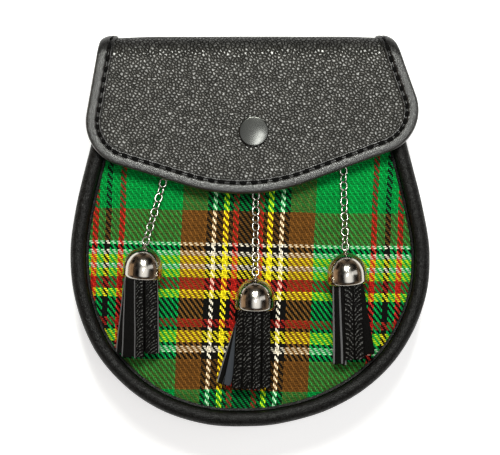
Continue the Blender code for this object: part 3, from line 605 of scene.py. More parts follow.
def rounded(corners, step_angle):
    """An open outline through the corners, with an arc of each corner's radius."""
    places = [Vector((corner.x, corner.height)) for corner in corners]
    line = [places[0]]
    for before, corner, after, row in zip(places, places[1:], places[2:], corners[1:]):
        come, leave = (corner - before).normalized(), (after - corner).normalized()
        turn = come.angle_signed(leave) * -1.0
        start = corner - come * row.radius * math.tan(abs(turn) / 2)
        side = Vector((-come.y, come.x)) * math.copysign(row.radius, turn)
        steps = max(2, math.ceil(abs(turn) / step_angle))
        for step in range(steps + 1):
            line.append(start + side + Matrix.Rotation(turn * step / steps, 2) @ -side)
    return [*line, places[-1]]


def body_edge(pieces=240):
    """The outer edge of the welts, from the upper left corner round the bottom to the upper right one."""
    left = [Vector((-row.left, row.height)) for row in BODY_EDGE]
    right = [Vector((row.right, row.height)) for row in reversed(BODY_EDGE)]
    return smooth_curve([*left, Vector(BODY_BOTTOM), *right], pieces)


def trimmed(line, top):
    """An outline whose two ends are cut level."""
    kept = [point for point in line if point.y < top - 0.05]
    ends = []
    for outer, inner in ((line[0], kept[0]), (line[-1], kept[-1])):
        share = (top - inner.y) / max(outer.y - inner.y, 0.001)
        ends.append(Vector((inner.x + (outer.x - inner.x) * share, top)))
    return [ends[0], *kept, ends[1]]


def patch(line, corners, across, along):
    """A grid of points inside an open outline, whose sides and bottom meet at two shares of its length."""
    count = 600
    fine = even_stretches(line, count)
    low, high = (round(count * share) for share in corners)
    left = even_stretches(fine[low::-1], along)
    bottom = even_stretches(fine[low:high + 1], across)
    right = even_stretches(fine[high:], along)
    rows = []
    for row in range(along + 1):
        t = row / along
        made = []
        for column in range(across + 1):
            s = column / across
            top = left[-1].lerp(right[-1], s)
            ruled = bottom[column].lerp(top, t) + left[row].lerp(right[row], s)
            made.append(ruled - bottom[0].lerp(bottom[-1], s).lerp(top, t))
        rows.append(made)
    return rows


def roll(across, along, up):
    """Where a point of the flat flap lies once the flap is rolled over the top, in metres."""
    side = across > 0
    bound = max(0.0, abs(across) - FOLD_SIDES[side] + BINDING_WIDTH) / BINDING_WIDTH
    full = 1.0 - smoothstep(*FULL_MIDDLE, abs(across))
    crown = FOLD_CROWN + FOLD_FULLNESS * full - FOLD_SAGS[side] * bound * bound
    if along <= FOLD_START:
        place = (across, along, FLAP_MIDDLE + up)
    elif along <= FOLD_START + ROLL_ONE:
        turn = (along - FOLD_START) / FRONT_ROLL
        reach = FRONT_ROLL + up + FOLD_SHOULDER * math.sin(2 * turn) ** 2 + crown * math.sin(turn) ** 2
        place = (across, FOLD_START + reach * math.sin(turn), LEVEL_HEIGHT + reach * math.cos(turn))
    elif along <= FOLD_TWO:
        down = along - FOLD_START - ROLL_ONE
        out = FRONT_ROLL + up + crown * (1.0 - smoothstep(0.0, LEVEL_DROP, down))
        place = (across, FOLD_START + out, LEVEL_HEIGHT - down)
    else:
        centre = FOLD_START + FRONT_ROLL - BACK_ROLL
        if along <= TAIL_START:
            turn, reach = (along - FOLD_TWO) / BACK_ROLL, BACK_ROLL + up
            sunk = reach * math.sin(turn) - BACK_ROLL
            place = (across, centre + reach * math.cos(turn), TAIL_MIDDLE - sunk)
        else:
            place = (across, centre - (along - TAIL_START), TAIL_MIDDLE - up)
    return Vector(place) * MM


# Mesh makers

def skin(bm, rows, closed_rows=False, caps=False, closed_ends=False, slot=0):
    """Faces between rows of points: rows closed into rings, ends capped or joined as asked."""
    grid = [[bm.verts.new(point) for point in row] for row in rows]
    count = len(grid[0])
    for row, following in zip(grid, grid[1:] + (grid[:1] if closed_ends else [])):
        for index in range(count if closed_rows else count - 1):
            after = (index + 1) % count
            face = bm.faces.new((row[index], row[after], following[after], following[index]))
            face.material_index = slot
    if caps:
        bm.faces.new(grid[0])
        bm.faces.new(reversed(grid[-1]))
    return grid


def rim_spots(last_row, last):
    """Row and column of a grid's outer points, once round, and of the point after each."""
    spots = ([(0, c) for c in range(last)] + [(r, last) for r in range(last_row)]
             + [(last_row, c) for c in range(last, 0, -1)] + [(r, 0) for r in range(last_row, 0, -1)])
    return zip(spots, spots[1:] + spots[:1])


def leaf(bm, rows, under, coarse, flat=None):
    """A closed sheet: a fine upper skin, a rim, and an underside with a face for each coarse by coarse cells.
    Its points keep their place in the flat hide when that is given."""
    last_row, last = len(rows) - 1, len(rows[0]) - 1
    grid = skin(bm, rows)
    below = {}

    def low(row, column):
        if (row, column) not in below:
            below[row, column] = bm.verts.new(under(row, column))
        return below[row, column]

    for (row, column), after in rim_spots(last_row, last):
        bm.faces.new((grid[after[0]][after[1]], grid[row][column], low(row, column), low(*after)))
    for r in range(0, last_row, coarse):
        for c in range(0, last, coarse):
            top, side = min(r + coarse, last_row), min(c + coarse, last)
            ring = [(r, k) for k in (range(c, side) if r == 0 else (c,))]
            ring += [(k, side) for k in (range(r, top) if side == last else (r,))]
            ring += [(top, k) for k in (range(side, c, -1) if top == last_row else (side,))]
            ring += [(k, c) for k in (range(top, r, -1) if c == 0 else (top,))]
            bm.faces.new([low(*spot) for spot in reversed(ring)])
    if flat:
        layer = bm.verts.layers.float_vector["hide"]
        for row, spots in enumerate(flat):
            for column, spot in enumerate(spots):
                grid[row][column][layer] = (*spot * MM, 0.0)
        for (row, column), vert in below.items():
            vert[layer] = (*flat[row][column] * MM, 0.0)


def make_object(name, bm, *materials, sharp=40.0):
    """An object of the mesh, smooth except at its sharp edges."""
    bmesh.ops.recalc_face_normals(bm, faces=bm.faces)
    mesh = bpy.data.meshes.new(name)
    bm.to_mesh(mesh)
    bm.free()
    for material in materials:
        mesh.materials.append(material)
    mesh.shade_smooth()
    mesh.set_sharp_from_angle(angle=math.radians(sharp))
    obj = bpy.data.objects.new(name, mesh)
    bpy.context.scene.collection.objects.link(obj)
    return obj


def thick_sheet(name, rows, thickness, material):
    """An object that is a sheet of even thickness, half to each side of the rows of points."""
    bm = bmesh.new()
    skin(bm, rows)
    sheet = make_object(name, bm, material)
    shell = sheet.modifiers.new("thickness", "SOLIDIFY")
    shell.thickness, shell.offset = thickness * MM, 0.0
    mesh = bpy.data.meshes.new_from_object(sheet.evaluated_get(bpy.context.evaluated_depsgraph_get()))
    sheet.modifiers.clear()
    sheet.data = mesh
    return sheet


def worn_by(obj, slot, *nodes):
    """The piece rides on the pouch and stands for the nodes. Its slot is not used."""
    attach(obj, "root")
    if nodes:
        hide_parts(*nodes)


def stitch(bm, start, end, up, width, height):
    """One stitch: a rounded stretch of thread, half sunk in the leather."""
    along = end - start
    side = up.cross(along).normalized() * width / 2
    rise = up.normalized() * height / 2
    rows = []
    for share in (0.0, 0.06, 0.2, 0.4, 0.6, 0.8, 0.94, 1.0):
        full = math.sqrt(max(0.02, 1.0 - (2 * share - 1) ** 4))
        rows.append([start + along * share + side * full * math.cos(a) + rise * full * math.sin(a)
                     for a in circle(8)])
    skin(bm, rows, closed_rows=True, caps=True)


def circle(count, first=0.0):
    """Angles of points at equal distances round a circle."""
    return [2 * math.pi * (turn + first) / count for turn in range(count)]


def quarter_turn(steps):
    """Angles of a quarter turn in equal steps, without the first one of 0."""
    return [math.pi / 2 * step / steps for step in range(1, steps + 1)]


def turned(bm, profile, count, axis=Matrix.Identity(4), slot=0):
    """A shape turned about the axis, from radii and heights in millimetres that start and end on the axis."""
    rows = [[axis @ (Vector((radius * math.cos(a), radius * math.sin(a), height)) * MM)
             for a in circle(count)] for radius, height in profile[1:-1]]
    grid = skin(bm, rows, closed_rows=True, slot=slot)
    for row, (_, height) in ((grid[0], profile[0]), (grid[-1], profile[-1])):
        middle = bm.verts.new(axis @ Vector((0.0, 0.0, height * MM)))
        for index, vert in enumerate(row):
            bm.faces.new((middle, vert, row[(index + 1) % count])).material_index = slot


def wire_ring(bm, place, length, width, wire, count=28, wire_count=10):
    """A closed oval of round wire, its length along the place's Y."""
    rows = []
    for angle in circle(count, 0.5):
        out = Vector((math.cos(angle), math.sin(angle), 0.0))
        middle = out * (width - wire) / 2 + Vector((0.0, math.copysign((length - width) / 2, out.y), 0.0))
        rows.append([place @ (middle + (out * math.cos(a) + Vector((0.0, 0.0, math.sin(a)))) * wire / 2)
                     for a in circle(wire_count)])
    skin(bm, rows, closed_rows=True, closed_ends=True)


# Body

def welt(name, height, lip_height, material, node):
    """A welt: leather round a cord, with the lip of leather that it is sewn in by."""
    line = body_edge()
    start, end, steps = 32.0, 348.0, 19   # degrees round the cord, between which the leather shows
    lip = ((WELT_RADIUS + 3.9, lip_height - 0.5), (9.4, lip_height - 0.5), (9.55, lip_height - 0.2),
           (9.4, lip_height), (WELT_RADIUS + 3.6, lip_height))
    rows = []
    for index, (point, side) in enumerate(zip(line, sides(line))):
        reach = (WELT_RADIUS - 0.05) * (1.0 + 0.012 * noise.noise(Vector((index * 0.16, height, 0.0))))
        turns = (math.radians(start + (end - start) * step / steps) for step in range(steps + 1))
        section = [(WELT_RADIUS + reach * math.cos(turn), height + reach * math.sin(turn)) for turn in turns]
        rows.append([Vector((*(point + side * inward), up)) * MM for inward, up in (*section, *lip)])
    bm = bmesh.new()
    skin(bm, rows, closed_rows=True, caps=True)
    worn_by(make_object(name, bm, material, sharp=60.0), "smooth_leather", node)


def dome_height(distance):
    """Height of the front cloth at a distance in from the edge of the welts."""
    seam_height, pulled = 34.7, 1.45      # in the seam, and the steep rise where it is pulled over the board
    edge = smoothstep(FRONT_INSET + 0.4, FRONT_INSET + 3.2, distance)
    middle = smoothstep(FRONT_INSET + 2.0, FRONT_INSET + 22.0, distance)
    return seam_height + pulled * edge + (FRONT_OUTSIDE - seam_height - pulled) * middle


def domed_sheet(name, edge, count, coarse, upper, lower, material):
    """A sheet over the dome of the front, its upper and lower side at two heights from the cloth's face."""
    measure = even_stretches(body_edge(), 300)
    domed = [[Vector((*spot, dome_height(min((spot - other).length for other in measure)))) for spot in row]
             for row in patch(edge, (0.28, 0.72), count, count)]
    bm = bmesh.new()
    leaf(bm, [[(spot + Vector((0.0, 0.0, upper))) * MM for spot in row] for row in domed],
         lambda row, column: (domed[row][column] + Vector((0.0, 0.0, lower))) * MM, coarse)
    return make_object(name, bm, material)


# Flap

def face_height(spot):
    """Upper side of the grained leather: a little uneven, and pressed in round the stud's cap."""
    dip = 1.0 - smoothstep(SNAP_RADIUS, SNAP_RADIUS + 1.3, math.dist(spot, SNAP_AT))
    return FLAP_HALF + 0.08 * noise.noise(Vector((*spot, 3.0)) / 14.0) - 0.35 * dip


def flap_edge():
    """The flap's flat outline as even stretches."""
    return even_stretches(rounded(FLAP_PATTERN, math.radians(2.0)), 470)


def sideness(side):
    """1 where the edge runs up and down, 0 where it runs across."""
    return smoothstep(0.4, 0.9, abs(side.x))


def stitch_phases(line, normals, stitches):
    """How many stitches have passed at each point of the edge."""
    phases = [0.0]
    for start, end, side in zip(line, line[1:], normals):
        share = sideness(side)
        pitch = stitches.lower_pitch * (1 - share) + stitches.side_pitch * share
        phases.append(phases[-1] + (end - start).length * MM / pitch)
    return phases


def binding_section(width, seam, puff):
    """The binding's section, in from the edge and up from the flap's middle: round its edge, with a dip at
    the seam that is narrower where the leather puffs up between two stitches."""
    half = 0.75 - 0.42 * puff
    lip = ((width, FLAP_HALF + 0.1), (width + 0.05, 1.5 + 0.1 * puff), (width - 0.3, 1.95 + 0.15 * puff),
           (width - 0.7, 2.1 + 0.15 * puff), (seam + half + 0.35, 2.0 + 0.2 * puff))
    dip = ((seam + half, 1.6), (seam + 0.4 * half, 1.2), (seam - 0.4 * half, 1.2), (seam - half, 1.65))
    above = ((seam - half - 0.45, 2.2), (seam - half - 1.1, 2.38), (0.58 * seam, 2.48), (0.4 * seam, 2.48),
             (1.3, 2.42), (0.62, 2.2), (0.2, 1.75), (0.03, 0.95))
    below = ((0.0, 0.0), (0.25, -0.95), (0.8, -1.68), (1.5, -2.15), (2.4, -2.35), (4.2, -2.3), (6.4, -2.1),
             (6.8, -1.7))
    inside = ((6.8, -FLAP_HALF - 0.15), (1.45, -FLAP_HALF - 0.15), (1.2, 0.0), (1.45, FLAP_HALF + 0.1))
    return (*lip, *dip, *above, *below, *inside)


def make_hide(leather):
    """The grained leather: its front and roll in one sheet, and the tail that is lapped on the back."""
    front = patch(trimmed(inset(flap_edge(), HIDE_INSET), TAIL_START), (0.27, 0.73), 200, 152)
    tail = [[Vector((TAIL_HALF_WIDTH * (column / 60 - 1), TAIL_START + (TAIL_END - TAIL_START) * row / 20))
             for column in range(121)] for row in range(21)]
    bm = bmesh.new()
    bm.verts.layers.float_vector.new("hide")
    for flat in (front, tail):
        rows = [[roll(*spot, face_height(spot)) for spot in row] for row in flat]
        leaf(bm, rows, lambda row, column: roll(*flat[row][column], -FLAP_HALF), 4, flat=flat)
    finish = pebbled_leather(leather.grained, leather.pebble, leather.pebble_depth)
    worn_by(make_object("flap_leather", bm, finish, sharp=60.0), "grained_leather", "flap")


def make_binding(leather, line, normals, phases):
    """The smooth leather folded over the flap's edge, its inner border a little unsteady."""
    rows = []
    for index, (point, side, phase) in enumerate(zip(line, normals, phases)):
        wider = SIDE_WIDER * sideness(side) + 0.12 * noise.noise(Vector((index * 0.11, 4.0, 0.0)))
        seam = BINDING_SEAM + SIDE_WIDER * sideness(side)
        puff = 0.5 + 0.5 * math.cos(2 * math.pi * phase)
        rows.append([roll(*(point + side * inward), up)
                     for inward, up in binding_section(BINDING_WIDTH + wider, seam, puff)])
    bm = bmesh.new()
    skin(bm, rows, closed_rows=True, caps=True)
    # The binding takes painted shade where it runs over the top.
    finish = smooth_leather("Binding leather, glazed and creased", leather.black, 0.36, 0.34, glaze=1.0,
                            grain=0.9, bend=84.0)
    worn_by(make_object("flap_edge_binding", bm, finish, sharp=50.0), "smooth_leather", "flap_binding")


def make_seam(stitches, line, normals, phases):
    """One stitch after the other along the binding, each turned a little by hand."""
    bm = bmesh.new()
    chance = random.Random(3)
    face, height = 1.75, 1.1 * MM         # middle of a stitch above the flap's middle, and its thickness
    for number in range(int(phases[-1])):
        index = min(range(len(phases)), key=lambda k: abs(phases[k] - number - 0.5))
        side = normals[index]
        share = sideness(side)
        slant = Matrix.Rotation(stitches.slant + math.radians(chance.uniform(-5.0, 5.0)), 2)
        length = stitches.lower_length * (1 - share) + stitches.side_length * share
        middle = line[index] + side * (BINDING_SEAM + SIDE_WIDER * share)
        reach = slant @ Vector((side.y, -side.x)) * length / MM / 2
        start, end = roll(*(middle - reach), face), roll(*(middle + reach), face)
        up = roll(*middle, face + 1.0) - roll(*middle, face)
        stitch(bm, start, end, up, stitches.width, height)
    worn_by(make_object("flap_stitches", bm, waxed_thread()), "smooth_leather")


# Tassels

UPRIGHT = Matrix.Rotation(math.radians(-90.0), 4, "X")     # lays a turned shape's axis along the tassel's Y


def tassel_frame(tassel):
    """The tassel's own frame: origin in the middle of the cap's rim, Y up to the eye, Z to the front."""
    place = Vector((tassel.rim_x, tassel.rim_y, AXIS_HEIGHT)) * MM
    lean = Matrix.Rotation(math.radians(-tassel.lean), 4, "Z")
    drop = Matrix.Rotation(math.radians(tassel.drop), 4, "X")
    return Matrix.Translation(place) @ lean @ drop


def eye_rise(metal_sizes):
    """Height of the eye's middle above the cap's rim, in metres."""
    return metal_sizes.cap_height + 1.4 * MM


def pressed_height(across, down, width, slant, pitch):
    """Relief of the pressed strands, 0 to 1: a column of slanting rounded ridges."""
    curl = 0.35 * math.cos(2 * math.pi * across / width)
    wander = 0.45 * noise.noise(Vector((down / pitch, width, 0.5)))
    phase = (down + slant * across * 0.85 + curl) / pitch + wander
    ridge = math.sqrt(max(0.0, 1.0 - (2 * (phase % 1.0) - 1) ** 2))
    return ridge * (1.0 - smoothstep(0.78, 1.0, abs(2 * across / width)))


def strip_frame(tassel, strip, share, wave):
    """The middle of a strip at a share of its length, and the directions across it and out of its face."""
    down = share * strip.length
    spread = max(0.0, share) ** 1.05
    across = strip.top + (strip.end - strip.top) * spread + 0.35 * wave * max(0.0, share)
    height = (AXIS_HEIGHT + strip.lift) * (1 - spread) + (FRONT_OUTSIDE + strip.above) * spread
    height += 0.5 * math.sin(math.pi * max(0.0, share)) + 0.3 * wave * max(0.0, share)
    if down < 0:                          # the strips close up inside the cap
        gathered = 0.25 * -down / TUCKED
        across *= 1.0 - gathered
        height += (AXIS_HEIGHT - height) * gathered
    middle = Vector((tassel.rim_x + across, tassel.rim_y - down, height))
    along = Vector((strip.end - strip.top, -strip.length, 0.0)).normalized()
    turn = math.radians(strip.turn + (strip.end_turn - strip.turn) * smoothstep(0.0, 0.7, share))
    side = Vector((-along.y, along.x, 0.0)) * math.cos(turn) - Vector((0.0, 0.0, math.sin(turn)))
    face = along.cross(side)
    if face.z < 0:
        face.negate()
    return middle, along, side, face


def strip_rows(tassel, strip, seed):
    """Rows of points along a strip, from inside the cap to its end: its upper and lower side in metres, and
    how far each upper point is raised by the pressed pattern."""
    pressed = strip.face == "pressed"
    down_count, across_count = (190, 18) if pressed else (40, 6)
    cut_edges = [tassel.edge if strip.pale in (side, 2) else 0.08 for side in (-1, 1)]
    upper, lower, crests = [], [], []
    for row in range(down_count + 1):
        down = (strip.length + TUCKED) * row / down_count - TUCKED
        share = max(0.0, down / strip.length)
        wave = noise.noise(Vector((seed * 7.3, share * 2.4, 0.0)))
        middle, along, side, face = strip_frame(tassel, strip, down / strip.length, wave)
        width = strip.top_width + (strip.end_width - strip.top_width) * share
        top, bottom = [], []
        for column in range(across_count + 1):
            across = width * (column / across_count - 0.5)
            cup = 0.2 * (1.0 - (2 * across / width) ** 2)
            crest = pressed_height(across, down, width, strip.slant, tassel.dash) if pressed else 0.0
            crests.append(crest)
            wider = 1.0 + 2 * cut_edges[across > 0] / width
            ragged = 0.35 * math.sin(seed + 9.0 * across / width) if row == down_count else 0.0
            spot = middle + along * ragged
            top.append((spot + side * across + face * (0.5 + cup + 0.24 * crest)) * MM)
            bottom.append((spot + side * across * wider + face * (cup - 0.55)) * MM)
        upper.append(top)
        lower.append(bottom)
    return upper, lower, crests


def strip_mesh(bm, upper, lower, crests, face_slot, edge_slots):
    """A closed strip whose left edge, right edge and ends have a finish each."""
    grid = skin(bm, upper, slot=face_slot)
    below = skin(bm, lower, slot=face_slot)
    layer = bm.verts.layers.float["crest"]
    for vert, crest in zip((vert for row in grid for vert in row), crests):
        vert[layer] = crest
    last_row, last = len(grid) - 1, len(grid[0]) - 1
    for (row, column), (down, after) in rim_spots(last_row, last):
        face = bm.faces.new((grid[down][after], grid[row][column], below[row][column], below[down][after]))
        side = 0 if column == after == 0 else 1 if column == after == last else 2
        face.material_index = edge_slots[side]


# Chains

def chain_path(tassel, metal_sizes):
    """The way of a chain: from the eye of the cap down to the cloth and up under the flap, in metres."""
    eye = tassel_frame(tassel) @ Vector((0.0, eye_rise(metal_sizes), 0.0))
    level = (FRONT_OUTSIDE + 2.1) * MM    # of the middle of the links that lie on the cloth
    end = Vector((tassel.chain_x * MM, tassel.chain_y * MM, level))
    line, steps = [], 60
    for share in (step / steps for step in range(steps + 1)):
        spot = eye.lerp(end, share)
        spot.z = level + (eye.z - level) * (1.0 - share) ** 2.2
        line.append(spot)
    return line


def along_path(line, distance):
    """The point at a distance along a line of points."""
    for start, end in zip(line, line[1:]):
        run = (end - start).length
        if distance <= run:
            break
        distance -= run
    return start.lerp(end, distance / run)


def link_up(bm, line, sizes, chance):
    """Links along the line, each turned against the one before, and the place of the last one."""
    half = (sizes.link_length - sizes.link_wire) / 2
    leans, slack = (8.0, -42.0), 8.0      # degrees that links turn about the chain, by turns, and by chance
    length = sum((end - start).length for start, end in zip(line, line[1:]))
    count = int((length - 2 * half) / sizes.link_pitch) + 1
    for index in range(count):
        middle = half + index * sizes.link_pitch
        place = along_path(line, middle)
        along = (along_path(line, middle + half) - along_path(line, middle - half)).normalized()
        lean = leans[index % 2] + chance.uniform(-slack, slack) if index < count - 1 else 0.0
        across = along.cross(Vector((0.0, 0.0, 1.0))).normalized()
        turn = Matrix((across, along, across.cross(along))).transposed().to_4x4()
        wire_ring(bm, Matrix.Translation(place) @ turn @ Matrix.Rotation(math.radians(lean), 4, "Y"),
                  sizes.link_length, sizes.link_width, sizes.link_wire)
    return place


# Stage

def hang_lights(scene, stage):
    """Two windows over the top edge, a lamp on the ceiling and two walls that throw light back."""
    aim = Vector((0.0, 0.0, 30 * MM))
    window, side = 0.5 * stage.top_power, stage.side_power
    lights = (
        ("left_window", (-0.12, 0.58, 1.1), (0.1, 0.38), window, "fdfff7"),
        ("right_window", (0.14, 0.58, 1.1), (0.1, 0.38), window, "fdfff7"),
        ("ceiling_lamp", (0.084, -0.04, 1.3), (0.24, 0.09), 0.6 * side, "ffffff"),
        ("left_wall", (-0.95, 0.05, 0.38), (0.6, 0.5), 0.3 * side, "c79f78"),
        ("right_wall", (0.75, 0.15, 0.8), (0.3, 0.6), 0.3 * side, "ffffff"),
    )
    for name, place, size, power, code in lights:
        light = bpy.data.lights.new(name, "AREA")
        light.shape = "RECTANGLE"
        light.size, light.size_y = size
        light.energy = power
        light.color = linear(code)
        lamp = bpy.data.objects.new(name, light)
        lamp.location = place
        lamp.rotation_euler = (aim - Vector(place)).to_track_quat("-Z", "Y").to_euler()
        scene.collection.objects.link(lamp)


def patchy_room(brightness):
    """A warm room with dark and bright patches for the metal to mirror, and a soft glow on its ceiling."""
    world = bpy.data.worlds.new("room")
    world.use_nodes = True
    tree = world.node_tree
    way = add(tree, "TexCoord").outputs["Generated"]
    walls = add(tree, "ValToRGB", {"Fac": add(tree, "SeparateXYZ", {0: way}).outputs["Z"]})
    stops = walls.color_ramp.elements
    stops.new(0.4)
    for stop, place, code in zip(stops, (0.0, 0.4, 0.9), ("b5a08a", "6d5a48", "3c3c3c")):
        stop.position = place
        stop.color = (*linear(code), 1.0)
    patches = add(tree, "TexNoise", {"Vector": way, "Scale": 2.4, "Detail": 2.0})
    depth = add(tree, "MapRange", {"Value": patches, "From Min": 0.42, "From Max": 0.6, "To Min": 0.02,
                                   "To Max": 2.4})
    room = add(tree, "VectorMath", {0: walls, "Scale": depth}, operation="SCALE")
    over = Vector((0.17, -0.12, 1.0)).normalized()
    near = add(tree, "VectorMath", {0: way, 1: over}, operation="DOT_PRODUCT").outputs["Value"]
    glow = add(tree, "MapRange", {"Value": near, "From Min": math.cos(math.radians(32.0)), "To Max": 3.4},
               interpolation_type="SMOOTHSTEP")
    lit = add(tree, "VectorMath", {0: glow, 1: room}, operation="ADD")
    join(tree, tree.nodes["Background"], {"Color": lit, "Strength": brightness})
    return world


# Operators

class SPORRAN_OT_stage(bpy.types.Operator):
    """Make the floor, the lights and the camera"""
    bl_idname = "sporran.stage"
    bl_label = "Stage"

    def execute(self, context):
        scene = context.scene
        stage = scene.sporran_stage
        scene.view_settings.view_transform = "Standard"
        ends, below = (-stage.floor_size / 2, stage.floor_size / 2), -0.2 * MM
        bm = bmesh.new()
        skin(bm, [[Vector((x, y, below)) for x in ends] for y in ends])
        floor = make_object("floor", bm, studio_paper(stage.floor, stage.floor_glow))

        camera = bpy.data.cameras.new("camera")
        camera.sensor_fit = "HORIZONTAL"
        camera.lens = camera.sensor_width * stage.distance / stage.view_width
        camera.clip_end = 20.0
        eye = bpy.data.objects.new("camera", camera)
        eye.location = (-0.1 * MM, 2.08 * MM, stage.distance + 42 * MM)
        scene.collection.objects.link(eye)
        scene.camera = eye
        hang_lights(scene, stage)
        scene.world = patchy_room(stage.sky)
        return {"FINISHED"}


class SPORRAN_OT_body(bpy.types.Operator):
    """Make the two welts, the gusset and the back"""
    bl_idname = "sporran.body"
    bl_label = "Body"

    def execute(self, context):
        black = context.scene.sporran_leather.black
        welt_leather = smooth_leather("Welt leather, waxed over cord", darker(black, 0.4), 0.45, 1.0,
                                      polish=0.24, grain=1.0)
        welt("front_welt", FRONT_WELT, FRONT_LIP, welt_leather, "front_piping")
        welt("back_welt", BACK_WELT, BACK_LIP, welt_leather, "back_piping")

        line = body_edge()
        low, high = BACK_WELT + WELT_RADIUS + 0.2, FRONT_WELT - WELT_RADIUS - 0.2
        rows, steps = [], 18
        for share in (step / steps for step in range(steps + 1)):
            pinch = 2.1 * max(0.0, math.sin(math.pi * share)) ** 0.8
            crease = 0.25 * math.exp(-((share - 0.5) / 0.05) ** 2)
            rows.append([Vector((*spot, low + (high - low) * share)) * MM
                         for spot in inset(line, WELT_RADIUS + pinch + crease)])
        gusset_leather = smooth_leather("Gusset leather, folded", darker(black, 0.55), 0.5, 0.9,
                                        polish=0.3, grain=0.9)
        worn_by(thick_sheet("gusset_strip", rows, GUSSET_THICK, gusset_leather), "smooth_leather", "gusset")

        rows = [[Vector((*spot, BACK_OUTSIDE + BACK_THICK / 2)) * MM for spot in row]
                for row in patch(trimmed(inset(line, BACK_INSET), PANEL_TOP), (0.28, 0.72), 36, 36)]
        back_leather = smooth_leather("Back leather, pressed smooth", black, 0.5, 0.6, polish=0.4, grain=0.6)
        worn_by(thick_sheet("back_leather", rows, BACK_THICK, back_leather), "smooth_leather", "back_panel")
        return {"FINISHED"}


class SPORRAN_OT_tartan_front(bpy.types.Operator):
    """Make the tartan cloth and the board that it is stretched over"""
    bl_idname = "sporran.tartan_front"
    bl_label = "Tartan front"

    def execute(self, context):
        wool = tartan_cloth(context.scene.sporran_tartan)
        lining = smooth_leather("Front lining leather, split", context.scene.sporran_leather.black, 0.7, 0.3)
        edge = trimmed(inset(body_edge(), FRONT_INSET), PANEL_TOP)
        cloth = domed_sheet("tartan_cloth", edge, 96, 6, 0.0, -CLOTH_THICK, wool)
        worn_by(cloth, "tartan", "front_panel")
        board_top, board_below = -CLOTH_THICK - 0.02, -CLOTH_THICK - BOARD_THICK
        board = domed_sheet("front_board", edge, 48, 4, board_top, board_below, lining)
        worn_by(board, "smooth_leather", "front_panel")
        return {"FINISHED"}


class SPORRAN_OT_flap(bpy.types.Operator):
    """Make the grained flap with its binding and seam"""
    bl_idname = "sporran.flap"
    bl_label = "Flap"

    def execute(self, context):
        leather = context.scene.sporran_leather
        stitches = context.scene.sporran_stitches
        line = flap_edge()
        normals = sides(line)
        phases = stitch_phases(line, normals, stitches)
        make_hide(leather)
        make_binding(leather, line, normals, phases)
        make_seam(stitches, line, normals, phases)
        return {"FINISHED"}


class SPORRAN_OT_press_stud(bpy.types.Operator):
    """Make the press stud's cap and its other half"""
    bl_idname = "sporran.press_stud"
    bl_label = "Press stud"

    def execute(self, context):
        radius = context.scene.sporran_metal.snap_radius / MM
        nickel = metal("Zinc alloy, black nickel plated and brushed", "4c4d4a", 0.15, 0.01)
        sunk, wall, dome, rim, steps = 0.4, 2.0, 0.3, 0.5, 14
        profile = [(0.0, wall + dome)]
        profile += [(share * (radius - rim), wall + dome * (1 - share ** 2))
                    for share in (step / steps for step in range(1, steps + 1))]
        profile += [(radius - rim * (1 - math.sin(turn)), wall - rim * (1 - math.cos(turn)))
                    for turn in quarter_turn(6)]
        profile += [(radius, 0.0), (0.0, 0.0)]
        bm = bmesh.new()
        turned(bm, profile, 96, Matrix.Translation(Vector((*SNAP_AT, FLAP_MIDDLE + FLAP_HALF - sunk)) * MM))
        worn_by(make_object("stud_cap", bm, nickel), "dark_nickel", "snap_cap")

        rise = FLAP_MIDDLE - FLAP_HALF - FRONT_OUTSIDE
        profile = [(0.0, rise), (4.3, rise), (4.5, rise - 0.2), (4.5, 1.8), (4.7, 1.6), (6.3, 1.5),
                   (6.5, 1.2), (6.5, 0.0), (0.0, 0.0)]
        bm = bmesh.new()
        turned(bm, profile, 40, Matrix.Translation(Vector((*SNAP_AT, FRONT_OUTSIDE)) * MM))
        worn_by(make_object("stud_post", bm, nickel), "dark_nickel", "snap_stud")
        return {"FINISHED"}


class SPORRAN_OT_belt_loops(bpy.types.Operator):
    """Make the belt loops on the back and their seams"""
    bl_idname = "sporran.belt_loops"
    bl_label = "Belt loops"

    def execute(self, context):
        black = context.scene.sporran_leather.black
        leather = smooth_leather("Belt loop leather, burnished", black, 0.45, 0.25)
        line = even_stretches([Vector(point) for point in LOOP_PROFILE], 90)
        threads = bmesh.new()
        width, height, back, half = 0.9 * MM, 0.6 * MM, Vector((0.0, 0.0, -1.0)), Vector((1.3, 0.0, 0.0))
        for side, name in ((-1, "left"), (1, "right")):
            bm = bmesh.new()
            skin(bm, [[Vector((side * LOOP_X + across, *(spot + up * offset))) * MM
                       for across, offset in LOOP_SECTION]
                      for spot, up in zip(line, sides(line))], closed_rows=True, caps=True)
            worn_by(make_object(f"loop_{name}", bm, leather), "smooth_leather", f"belt_loop_{name}")
            for along in (8.0, 13.5, 60.5, 65.2):
                for number in range(5):
                    middle = Vector((side * LOOP_X + 4.0 * (number - 2), along, 4.3))
                    stitch(threads, (middle - half) * MM, (middle + half) * MM, back, width, height)
        for number in range(24):
            across, seam = 4.5 * (number - 12), TAIL_END - 3.0
            start, end = (roll(x, seam, FLAP_HALF) for x in (across, across + 2.8))
            stitch(threads, start, end, back, width, height)
        worn_by(make_object("back_stitches", threads, waxed_thread()), "smooth_leather")
        return {"FINISHED"}


